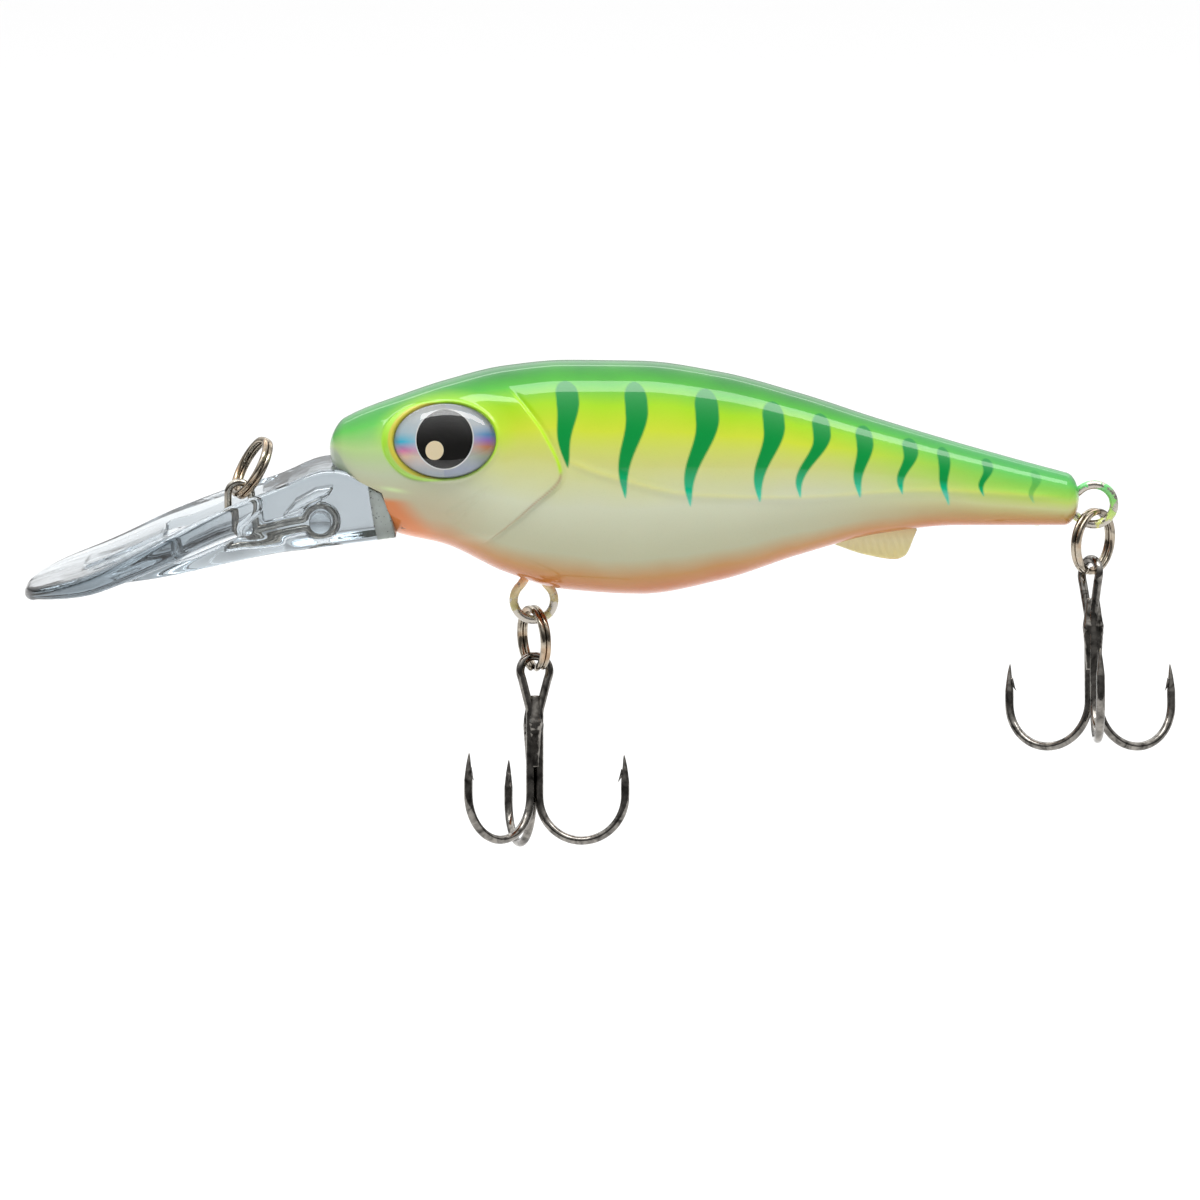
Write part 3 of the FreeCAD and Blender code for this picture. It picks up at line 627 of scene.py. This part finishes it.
def make_materials():
    """Every material used, by a short name."""
    return {
        "paint": paint_material(),
        "fin": fin_material(),
        "lip": clear_material("clear_lip_polycarbonate", (0.93, 0.95, 0.965, 1), 0.012, 0.10, 220.0),
        "pin": clear_material("clear_pin_plastic", (0.80, 0.83, 0.85, 1), 0.12, 0.0),
        "glue": glue_material(),
        "dome": clear_material("domed_eye_epoxy", (0.98, 0.985, 0.99, 1), 0.005, 0.0),
        "foil": foil_material(),
        "nickel": metal_material("nickel_plated_wire", srgb(178, 168, 152), srgb(100, 93, 82), 0.10,
                                 srgb(176, 140, 104)),
        "tie": metal_material("line_tie_steel", srgb(190, 186, 176), srgb(110, 104, 96), 0.14,
                              srgb(166, 150, 124)),
        "black": metal_material("black_nickel_hook", srgb(144, 140, 134), srgb(60, 58, 55), 0.1),
        "braze": metal_material("black_nickel_braze", srgb(140, 136, 130), srgb(45, 43, 40), 0.12),
        "lead": metal_material("dull_ballast_metal", srgb(120, 120, 124), srgb(84, 84, 88), 0.5),
        "steel": metal_material("polished_rattle_steel", srgb(214, 214, 216), srgb(170, 170, 174), 0.06),
        "belly_wire": oversprayed_wire("oversprayed_belly_hanger", [
            (0.0, srgb(214, 206, 168)), (0.4, srgb(170, 160, 96)), (0.75, srgb(216, 196, 150)),
            (1.0, srgb(224, 150, 90))], -14.4, -9.0, 0.3),
        "tail_wire": oversprayed_wire("oversprayed_tail_hanger", [
            (0.0, srgb(216, 176, 120)), (0.35, srgb(206, 214, 120)), (0.7, srgb(120, 196, 90)),
            (1.0, srgb(96, 190, 110))], -5.2, 1.2, 0.15),
    }


# ---- wire work ----


def tube_mesh(path, across, along_axis=None, sides=20, power=2.0, flat=1.0):
    """Points and faces of a swept wire; across is the half width at each path point."""
    path = np.asarray(path, float)
    count = len(path)
    tangent = np.gradient(path, axis=0)
    tangent /= np.linalg.norm(tangent, axis=1, keepdims=True)
    if along_axis is None:
        seed = np.array([0.0, 1.0, 0.0])
        if abs(tangent[0] @ seed) > 0.9:
            seed = np.array([1.0, 0.0, 0.0])
        ups = [seed - tangent[0] * (seed @ tangent[0])]
        for i in range(1, count):
            up = ups[-1] - tangent[i] * (ups[-1] @ tangent[i])
            ups.append(up / np.linalg.norm(up))
        ups = np.array(ups)
        ups[0] /= np.linalg.norm(ups[0])
    else:
        ups = along_axis - tangent * (tangent @ along_axis)[:, None]
        ups /= np.linalg.norm(ups, axis=1, keepdims=True)
    rights = np.cross(tangent, ups)
    turn = np.linspace(0, 2 * math.pi, sides, endpoint=False)
    c = np.sign(np.cos(turn)) * np.abs(np.cos(turn)) ** (2 / power)
    s = np.sign(np.sin(turn)) * np.abs(np.sin(turn)) ** (2 / power)
    across = np.broadcast_to(across, (count,))
    points = path[:, None, :] + across[:, None, None] * (rights[:, None, :] * c[None, :, None]
                                                         + flat * ups[:, None, :] * s[None, :, None])
    points = points.reshape(-1, 3)
    faces = grid_faces(count, sides, close_cols=True)
    start, end = len(points), len(points) + 1
    points = np.concatenate([points, path[:1], path[-1:]])
    last = (count - 1) * sides
    faces += [(start, (i + 1) % sides, i) for i in range(sides)]
    faces += [(end, last + i, last + (i + 1) % sides) for i in range(sides)]
    return points, faces


def join_meshes(parts):
    """One set of points and faces from several."""
    points, faces, offset = [], [], 0
    for p, f in parts:
        points.append(np.asarray(p, float))
        faces += [tuple(i + offset for i in face) for face in f]
        offset += len(p)
    return np.concatenate(points), faces


def placed(parts, matrix):
    """The joined parts moved by a matrix in millimetres."""
    points, faces = join_meshes(parts)
    m = np.array(matrix)
    return points @ m[:3, :3].T + m[:3, 3], faces


def arc(centre, radius, start, end, steps):
    """Points on a circle in the XZ plane, angles in degrees from +X toward +Z."""
    angles = np.radians(np.linspace(start, end, steps))
    return np.stack([centre[0] + radius * np.cos(angles), np.full(steps, float(centre[1])),
                     centre[2] + radius * np.sin(angles)], 1)


def smooth_path(points, steps, rounds=1):
    """An even path through the points, with softened corners."""
    points = np.asarray(points, float)
    gaps = np.concatenate([[0], np.cumsum(np.linalg.norm(np.diff(points, axis=0), axis=1))])
    even = np.linspace(0, gaps[-1], steps)
    path = np.stack([np.interp(even, gaps, points[:, i]) for i in range(3)], 1)
    for _ in range(rounds):
        path[1:-1] = (path[:-2] + 2 * path[1:-1] + path[2:]) / 4
    return path


# The wire's anchor loop in the lip (X, Z) and the centres of the two hanger loops.
ANCHOR = (8.7, -2.65)
BELLY_LOOP, TAIL_LOOP = (31.5, 0, -11.7), (91.5, 0, -1.2)
LOOP_RADIUS = 2.175
# A ring hangs by RING_HANG and is coiled at RING_COIL, both to the middle of its wire.
RING_HANG, RING_COIL = 3.27, 3.26
# The treble: wire half width, shank offset, bend radius, and heights below the ring's wire.
HOOK_WIRE = 0.465
HOOK_SHANK = 0.575
NEEDLE = 0.02
HOOK_BEND = 4.75
EYE_TOP = -0.35
EYE_BEND = 1.635
SHANK_TOP = -4.3
BEND_LEVEL = -13.9


def spun(points, angle):
    """Points turned about Z."""
    turn = math.radians(angle)
    c, s = math.cos(turn), math.sin(turn)
    out = np.array(points, float)
    out[:, 0], out[:, 1] = points[:, 0] * c - points[:, 1] * s, points[:, 0] * s + points[:, 1] * c
    return out


def arm_path(angle, top):
    """Centre line of one hook from the tip of its point up its shank."""
    far = HOOK_SHANK + 2 * HOOK_BEND
    tip = np.array([[far - 0.12, 0, BEND_LEVEL + 4.45], [far - 0.03, 0, BEND_LEVEL + 3.2],
                    [far, 0, BEND_LEVEL + 1.6]])
    bend = arc((HOOK_SHANK + HOOK_BEND, 0, BEND_LEVEL), HOOK_BEND, 0, -180, 40)
    shank = np.array([[HOOK_SHANK, 0, BEND_LEVEL + 1.0], [HOOK_SHANK, 0, top]])
    return spun(np.concatenate([tip, bend, shank]), angle)


def taper(path, full, reach, ends=(True, False)):
    """Half width along a path that runs down to a needle point at its ends."""
    lengths = np.concatenate([[0], np.cumsum(np.linalg.norm(np.diff(path, axis=0), axis=1))])
    width = np.full(len(path), full)
    for needle, distance in zip(ends, (lengths, lengths[-1] - lengths)):
        if needle:
            slim = (full - NEEDLE) * np.clip(distance / reach, 0, 1) ** 0.72
            width = np.minimum(width, NEEDLE + slim)
    return width


def barb_mesh(angle):
    """The sliver cut up from the inside of a point."""
    far = HOOK_SHANK + 2 * HOOK_BEND
    base = BEND_LEVEL + 1.35
    path = np.array([[far - 0.30, 0, base + 1.55], [far - 0.40, 0, base + 1.0], [far - 0.62, 0, base + 0.45],
                     [far - 0.86, 0, base + 0.08]])
    path = smooth_path(path, 14)
    width = np.interp(np.arange(14), [0, 5, 13], [0.15, 0.17, 0.015])
    return tube_mesh(spun(path, angle), width, sides=10)


def double_hook_mesh():
    """One bent wire: point, bend, shank, teardrop eye, shank, bend, point."""
    shift = -HOOK_SHANK / 2
    foot = HOOK_SHANK * math.cos(math.radians(30))
    crown = arc((0, shift, EYE_TOP), EYE_BEND, -28, 208, 44)
    right, left = arm_path(-30, SHANK_TOP - 1.0), arm_path(-150, SHANK_TOP - 1.0)
    line = np.concatenate([right, [[foot, shift, SHANK_TOP - 0.4]], crown,
                           [[-foot, shift, SHANK_TOP - 0.4]], left[::-1]])
    path = smooth_path(line, 620 if FINE else 260, 5)
    return tube_mesh(path, taper(path, HOOK_WIRE, 3.0, (True, True)), sides=20)


def braze_mesh():
    """The lumpy solder fillet round the three shanks."""
    rows, cols = 70, 44
    top, low = SHANK_TOP + 1.3, SHANK_TOP - 6.4
    points = []
    for r in range(rows):
        t = r / (rows - 1)
        z = top + (low - top) * t
        fade = min(1.0, 3.2 * t - 0.3, 1.6 * (1 - t))
        for c in range(cols):
            a = 2 * math.pi * c / cols
            lobes = 0.93 + 0.11 * math.cos(3 * (a + math.pi / 6) - math.pi)
            bump = noise.noise(Vector((math.cos(a) * 1.1, math.sin(a) * 1.1, z * 0.75)))
            grit = noise.noise(Vector((math.cos(a) * 3.4, math.sin(a) * 3.4, z * 2.6)))
            radius = lobes * (0.82 + 0.36 * fade) + (0.09 * bump + 0.05 * grit) * max(fade, 0.2)
            points.append((radius * math.cos(a), radius * math.sin(a), z))
    return points, barrel_faces(rows, cols)


def build_treble(word, matrix):
    """The three pieces of one treble hook."""
    body = word + "_treble"
    kinds = (
        ("double_hook", [double_hook_mesh(), barb_mesh(-30), barb_mesh(-150)], "black"),
        ("single_hook", [single_hook_mesh(), barb_mesh(-270)], "black"),
        ("braze", [braze_mesh()], "braze"),
    )
    for kind, parts, material in kinds:
        node = "%s_%s" % (body, kind)
        build_piece(node + "_piece", placed(parts, matrix), body, material, "black_nickel", node)


def single_hook_mesh():
    """The third hook, nested behind the bent pair."""
    path = smooth_path(arm_path(-270, SHANK_TOP - 0.3), 300 if FINE else 140, 4)
    return tube_mesh(path, taper(path, HOOK_WIRE, 3.0), sides=20)


def build_split_ring(name, body, matrix, node):
    """Almost two turns of rounded wire with a crossing step and two cut ends."""
    steps = 260 if FINE else 120
    lift = 0.293
    turn = np.linspace(3, 690, steps)
    axial = -lift + 2 * lift * smoothstep(325, 372, turn)
    a = np.radians(turn)
    path = np.stack([RING_COIL * np.cos(a), RING_COIL * np.sin(a), axial], 1)
    wire = tube_mesh(path, 0.34, np.array([0.0, 0.0, 1.0]), 20, 2.5, 0.82)
    build_piece(name, placed([wire], matrix), body, "nickel", "nickel_wire", node)


def build_hanger(name, matrix, material, node):
    """A loop of wire whose legs run into the body and end in side toes."""
    foot = 6.1
    left = arc((0, 0, 0), LOOP_RADIUS, 130, 410, 60)
    leg, knee, toe = 0.62, 2.9, 2.2
    line = np.concatenate([[[-toe, 0, foot], [-leg, 0, foot], [-leg, 0, knee]], left,
                           [[leg, 0, knee], [leg, 0, foot], [toe, 0, foot]]])
    path = smooth_path(line, 240 if FINE else 120, 3)
    build_piece(name, placed([tube_mesh(path, 0.475)], matrix), "lure_body", material,
                "stainless_wire", node)


def build_line_tie():
    """The figure-eight wire in the lip."""
    arch, reach, lean = 1.25, 1.68, 11.0
    cx, cz = ANCHOR
    half_open = math.degrees(math.asin(0.5 / reach))
    slope = math.tan(math.radians(lean))
    loop = arc((cx, 0, cz), reach, 180 + lean - half_open, -180 + lean + half_open, 60)
    upper_x, upper_z = arch, loop[0][2] - slope * (loop[0][0] - arch)
    lower_x, lower_z = -arch, loop[-1][2] - slope * (loop[-1][0] + arch)
    over = arc((0, 0, 0), arch, 180, 0, 30)
    line = np.concatenate([[loop[1]], loop[:1], [[upper_x, 0, upper_z]], over[::-1],
                           [[lower_x, 0, lower_z]], loop[::-1]])
    path = smooth_path(line, 300 if FINE else 150, 4)
    build_piece("line_tie_wire_piece", placed([tube_mesh(path, 0.4)], Matrix()), "lure_body", "tie",
                "stainless_wire", "line_tie_wire")


# ---- eyes ----


def disc_mesh(top_height, low_height, rings=40, spokes=120):
    """A closed oval disc; both heights are functions of the distance from the centre, 0 to 1."""
    points = [(0, 0, top_height(0.0))]
    for r in range(1, rings + 1):
        t = (r / rings) ** 0.8
        for k in range(spokes):
            a = 2 * math.pi * k / spokes
            points.append((EYE_LONG * t * math.cos(a), EYE_HIGH * t * math.sin(a), top_height(t)))
    upper = len(points)
    points += [(x, y, low_height(min(1.0, math.hypot(x / EYE_LONG, y / EYE_HIGH)))) for x, y, _ in points]
    faces = []
    for k in range(spokes):
        m = (k + 1) % spokes
        faces.append((0, 1 + k, 1 + m))
        for r in range(rings - 1):
            a = 1 + r * spokes
            faces.append((a + k, a + spokes + k, a + spokes + m, a + m))
    faces += [tuple(i + upper for i in reversed(f)) for f in faces]
    rim = 1 + (rings - 1) * spokes
    for k in range(spokes):
        m = (k + 1) % spokes
        faces.append((rim + k, rim + upper + k, rim + upper + m, rim + m))
    return points, faces


def build_eyes():
    """Foil disc and clear dome on both sides."""
    for word, side in (("left", -1), ("right", 1)):
        matrix = eye_matrix(side)
        flat = disc_mesh(lambda t: -0.64, lambda t: -0.80)
        points, faces = placed([flat], matrix)
        foil = make_object(word + "_eye_foil_piece", points, faces)
        local = np.array(flat[0], float)
        if side > 0:
            local[:, 0] *= -1
        plane = foil.data.attributes.new("eye_plane", "FLOAT_VECTOR", "POINT")
        plane.data.foreach_set("vector", local.astype(np.float32).reshape(-1))
        paint_attribute(foil, "eye_ring", np.hypot(local[:, 0] / EYE_LONG, local[:, 1] / EYE_HIGH))
        recalc_normals(foil)
        settle(foil, "lure_body", MATERIALS["foil"], "eye_foil", word + "_eye_foil")
        dome = disc_mesh(lambda t: -0.35 + 1.5 * math.sqrt(max(0.0, 1 - t ** 2.4)), lambda t: -0.70)
        build_piece(word + "_eye_dome_piece", placed([dome], matrix), "lure_body", "dome", "eye_epoxy",
                    word + "_eye_dome")


# ---- diving lip ----

LIP_FRONT = -23.2
LIP_HALF = 8.3


def lip_half_width(x):
    """Half width of the paddle at a place along it."""
    x = np.asarray(x, float)
    near_tip = np.sqrt(np.clip(LIP_HALF ** 2 - (x - LIP_FRONT - LIP_HALF) ** 2, 0, None))
    rest = spline([-14.9, -9.5, -2, 5, 17.2], [8.3, 8.2, 6.1, 4.4, 4.4], x)
    return np.where(x < LIP_FRONT + LIP_HALF, near_tip, rest)


def lip_surfaces(x, y):
    """Upper and lower height of the lip: thin wings, a raised spine and a keel that deepens aft."""
    width = np.maximum(lip_half_width(x), 0.05)
    plane = spline([-23.2, -22.5, -15.2, -7.5, 2.5, 9.9, 15.4, 16.9],
                   [-10.1, -9.7, -7.2, -3.9, 0.4, 3.4, 1, -3.8], x)
    rise = spline([-23.2, -15.2, -2, 6], [0, 0.3, 0.95, 0.1], x)
    spine = (1 - smoothstep(2.7, 3.3, np.abs(y))) * smoothstep(-16.7, -16.2, x)
    spine = spine * (1 - smoothstep(-7.5, -5.0, x))
    dished = plane + rise * (np.abs(y) / width) ** 2
    top = dished + 0.42 * spine
    wing = dished - np.interp(x, [-23.2, -22.2, -15.2, -6, 0, 6], [0.7, 1.3, 2.4, 3.2, 3.6, 7])
    keel = spline([-23.2, -15.2, -9, 4.2, 16.9], [-11.2, -9.5, -8.6, -5.8, -4], x)
    centre = 1 - smoothstep(3.4, 4.6, np.abs(y))
    low = np.minimum(wing, wing + (keel - wing) * centre)
    low = np.where(x > 4.5, keel + (1 - smoothstep(4.5, 6.5, x)) * (low - keel), low)
    edge = np.clip(np.abs(y) / width, 0, 1)
    near = (1 - edge) * width
    near = np.where(x < LIP_FRONT + 1.2, np.minimum(near, x - LIP_FRONT + 0.05), near)
    round_off = np.sqrt(np.clip(1 - (1 - np.clip(near / 0.75, 0, 1)) ** 2, 0, 1))
    middle = (top + low) / 2
    half = np.maximum((top - low) / 2, 0.05)
    lose = np.minimum(half - 0.02, 0.8) * (1 - round_off)
    return middle + half - lose, middle - half + lose


def lip_solid():
    """The closed mesh of the lip before its wire pocket is cut."""
    rows, cols = (240, 121) if FINE else (120, 61)
    xs = np.concatenate([LIP_FRONT + 0.01 + 3.0 * np.linspace(0, 1, 40)[:-1] ** 1.8,
                         np.linspace(LIP_FRONT + 3.01, 16.9, rows)])
    across = np.sin(np.linspace(-math.pi / 2, math.pi / 2, cols))
    x = np.repeat(xs[:, None], cols, 1)
    y = np.maximum(lip_half_width(xs), 0.04)[:, None] * across[None, :]
    top, low = lip_surfaces(x, y)
    upper = np.stack([x, y, top], -1).reshape(-1, 3)
    lower = np.stack([x, y, low], -1).reshape(-1, 3)
    obj = make_object("diving_lip_piece", np.concatenate([upper, lower]), double_faces(len(xs), cols))
    recalc_normals(obj)
    return obj


def prism_tool(name, outline, half, rounding=0.0):
    """A closed prism across the lip for cutting it."""
    count = len(outline)
    points = [(x, -half, z) for x, z in outline] + [(x, half, z) for x, z in outline]
    faces = [tuple(range(count)), tuple(reversed(range(count, 2 * count)))]
    faces += [(i, (i + 1) % count, (i + 1) % count + count, i + count) for i in range(count)]
    obj = make_object(name, points, faces, smooth=False)
    recalc_normals(obj)
    if rounding:
        bevel = obj.modifiers.new("round", "BEVEL")
        bevel.width = rounding * MM
        bevel.segments = 4
        bevel.limit_method = "ANGLE"
    return obj


def apply_modifiers(obj):
    """Put what the modifiers make in place of the mesh."""
    graph = bpy.context.evaluated_depsgraph_get()
    mesh = bpy.data.meshes.new_from_object(obj.evaluated_get(graph))
    obj.modifiers.clear()
    obj.data = mesh


def carve(obj, tools):
    """Cut the tools out of a mesh and drop them."""
    for tool in tools:
        cutter = obj.modifiers.new(tool.name, "BOOLEAN")
        cutter.operation = "DIFFERENCE"
        cutter.solver = "EXACT"
        cutter.object = tool
    apply_modifiers(obj)
    for tool in tools:
        bpy.data.objects.remove(tool)


def soften(obj, size, rounds):
    """Remake the skin as even small faces and relax it, so moulded edges come out rounded."""
    remesh = obj.modifiers.new("even", "REMESH")
    remesh.mode = "VOXEL"
    remesh.voxel_size = size * MM
    relax = obj.modifiers.new("relax", "SMOOTH")
    relax.factor = 0.5
    relax.iterations = rounds
    apply_modifiers(obj)
    obj.data.polygons.foreach_set("use_smooth", [True] * len(obj.data.polygons))


def ring_outline(cx, cz, radius, count=36):
    """A circle in the XZ plane as outline points."""
    turns = [2 * math.pi * i / count for i in range(count)]
    return [(cx + radius * math.cos(a), cz + radius * math.sin(a)) for a in turns]


def build_lip():
    """The clear lip with its slot, keyhole wire pocket and the leaf-shaped hollow above it."""
    lip = lip_solid()
    window = [(-7.8, -6.6), (-8.0, -2.0), (-7.6, 3.0), (2.6, 5.0), (2.4, -1.3), (0.8, -2.6), (-2.2, -5.1),
              (-5.0, -6.3)]
    neck = [(-1.8, -5.7), (-1.8, 0.0), (2.2, 0.0), (2.3, -2.6), (7.6, -1.6), (7.8, -3.9), (4.0, -4.9)]
    leaf = [(4.4, -2.2), (6.0, -0.3), (8.2, 0.95), (10.3, 1.3), (9.6, 0.1), (8.0, -0.7), (6.2, -1.6)]
    tools = [
        prism_tool("window_tool", window, 2.35, 0.7),
        prism_tool("neck_tool", neck, 0.62),
        prism_tool("keyhole_tool", ring_outline(*ANCHOR, 2.2), 0.66),
        prism_tool("leaf_tool", leaf, 1.5, 0.25),
        bubble_tool("bubble_tool_a", (13.3, -2.7, -2.5), 1.05),
        bubble_tool("bubble_tool_b", (12.9, 2.6, -1.4), 0.7),
        bubble_tool("bubble_tool_c", (11.9, -3.3, -3.9), 0.35),
    ]
    carve(lip, tools)
    soften(lip, 0.14 if FINE else 0.25, 6)
    settle(lip, "lure_body", MATERIALS["lip"], "clear_polycarbonate", "diving_lip")


def bubble_tool(name, centre, radius):
    """A slightly squashed ball that leaves a trapped air bubble."""
    bm = bmesh.new()
    bmesh.ops.create_icosphere(bm, subdivisions=4, radius=radius * MM)
    for vert in bm.verts:
        wave = noise.noise(vert.co * 900)
        vert.co *= 1 + 0.22 * wave
        vert.co.z *= 0.85
        vert.co += Vector(centre) * MM
    mesh = bpy.data.meshes.new(name)
    bm.to_mesh(mesh)
    bm.free()
    return add_object(name, mesh)


def build_lip_fixings():
    """The pin through the anchor ring and the glue squeezed out behind the block."""
    rows, cols = 24, 48
    points = []
    for r in range(rows):
        t = r / (rows - 1)
        y = -2.2 + 4.4 * t
        radius = 1.2 * (1 - 0.10 * (abs(2 * t - 1) ** 8))
        points += [(x, y, z) for x, z in ring_outline(*ANCHOR, radius, cols)]
    build_piece("lip_cross_pin_piece", (points, barrel_faces(rows, cols)), "lure_body", "pin",
                "clear_polycarbonate", "lip_cross_pin")
    seam = [(13.9, 1.5), (15.2, 0.85), (16.2, -1.2), (16.7, -3.9), (14.9, -4.15), (14.5, -2.6)]
    glue = prism_tool("lip_glue_seam", seam, 4.15)
    settle(glue, "lure_body", MATERIALS["glue"], "clear_adhesive")


# ---- the rest ----


def frame_of(origin, x_axis, z_axis):
    """A placement from an origin and two directions."""
    z = Vector(z_axis).normalized()
    x = Vector(x_axis)
    x = (x - z * x.dot(z)).normalized()
    y = z.cross(x)
    return Matrix.Translation(Vector(origin)) @ Matrix((x, y, z)).transposed().to_4x4()


def turned(degrees, axis):
    """A turn about one axis."""
    return Matrix.Rotation(math.radians(degrees), 4, axis)


def dress_nodes():
    """Materials for the CAD nodes that stay as they are."""
    kept = {"belly_ballast": "lead", "lip_adhesive": "glue", "rattle_ball_1": "steel",
            "rattle_ball_2": "steel", "rattle_ball_3": "steel"}
    for node, material in kept.items():
        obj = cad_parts[node]
        obj.data.materials.clear()
        obj.data.materials.append(MATERIALS[material])


def build_object():
    """Every visible piece of the lure."""
    build_shell(-1, "left_body_shell_piece", "left_body_shell")
    build_shell(1, "right_body_shell_piece", "right_body_shell")
    build_fin()
    build_eyes()
    build_lip()
    build_lip_fixings()
    build_line_tie()
    build_hanger("belly_hook_hanger_piece", Matrix.Translation(BELLY_LOOP), "belly_wire",
                 "belly_hook_hanger")
    build_hanger("tail_hook_hanger_piece", Matrix.Translation(TAIL_LOOP) @ turned(-90, "Y"), "tail_wire",
                 "tail_hook_hanger")
    sets = (("front", BELLY_LOOP, 23.5, 1.2, 16.6, -17), ("rear", TAIL_LOOP, -38, 1.4, -60, -20))
    for word, loop, turn, grip, hook_turn, hook_tilt in sets:
        centre = Vector(loop) + Vector((0, 0, grip - LOOP_RADIUS - RING_HANG))
        upright = turned(turn, "Z") @ turned(90, "Y")
        build_split_ring(word + "_split_ring_piece", word + "_ring", Matrix.Translation(centre) @ upright,
                         word + "_split_ring")
        lean = turned(hook_tilt, "X") @ turned(hook_turn, "Z")
        hang = Matrix.Translation(centre - Vector((0, 0, RING_HANG))) @ lean
        build_treble(word, hang)
    axis = Vector((-0.835, -0.226, 0.501)).normalized()
    lean = Vector((0.372, 0.439, 0.818)).normalized()
    build_split_ring("line_tie_ring_piece", "line_ring",
                     frame_of(Vector((0.05, -0.18, -0.11)) + lean * RING_HANG, lean, axis), "line_tie_ring")
    dress_nodes()


def floor_material():
    """Plain matt pale floor."""
    n = Nodes("pale_studio_floor")
    grain = n.noise(n.position((8, 8, 8)), 3.0, 2.0)
    colour = n.mix(n.math("MULTIPLY", grain, 0.04), (0.74, 0.74, 0.74, 1), (0.71, 0.71, 0.71, 1))
    n.set(Base_Color=colour, Roughness=0.9)
    return n.material


def sky_light(world):
    """Soft studio light: a bright ceiling that fades toward dim walls."""
    n = Nodes("sky", world)
    way = n.axes(n.add("ShaderNodeTexCoord").outputs["Generated"])
    height = n.math("MULTIPLY_ADD", way["Z"], 1.0, n.math("MULTIPLY", way["Y"], 0.3))
    background = n.tree.nodes["Background"]
    n.link(n.span(height, 0.05, 0.95, ends=(0.16, 1.75)), background.inputs["Strength"])
    background.inputs["Color"].default_value = WHITE


def build_stage():
    """Floor, softboxes, sky light and camera."""
    size = 6.0
    low = -0.10
    mesh = bpy.data.meshes.new("studio_floor")
    corners = [(-size, -size, low), (size, -size, low), (size, size, low), (-size, size, low)]
    mesh.from_pydata(corners, [], [(0, 1, 2, 3)])
    floor = add_object("studio_floor", mesh)
    mesh.materials.append(floor_material())
    world = bpy.data.worlds.new("studio")
    bpy.context.scene.world = world
    sky_light(world)
    lights = (
        ("top_softbox", (0.03, -0.17, 0.55), (0.03, 0.0, 0.0), 0.70, 0.20, 2.9),
        ("rear_strip", (0.03, 0.47, 0.50), (0.03, 0.0, 0.0), 1.0, 0.05, 0.55),
    )
    for name, place, aim, wide, high, power in lights:
        data = bpy.data.lights.new(name, "AREA")
        data.shape = "RECTANGLE"
        data.size, data.size_y, data.energy = wide, high, power
        light = add_object(name, data)
        light.location = place
        light.rotation_euler = (Vector(aim) - Vector(place)).to_track_quat("-Z", "Y").to_euler()
    data = bpy.data.cameras.new("camera")
    camera = add_object("camera", data)
    data.lens, data.sensor_width = 200, 36
    aim = Vector((0.0386, 0.0, -0.0117))
    distance = 0.129 * data.lens / data.sensor_width
    tilt = math.radians(13)
    camera.location = aim + Vector((0, -math.cos(tilt), math.sin(tilt))) * distance
    camera.rotation_euler = (aim - camera.location).to_track_quat("-Z", "Y").to_euler()
    data.clip_start, data.clip_end = 0.01, 50
    bpy.context.scene.camera = camera
    bpy.context.scene.view_settings.view_transform = "Standard"


MATERIALS = make_materials()
build_object()
build_stage()
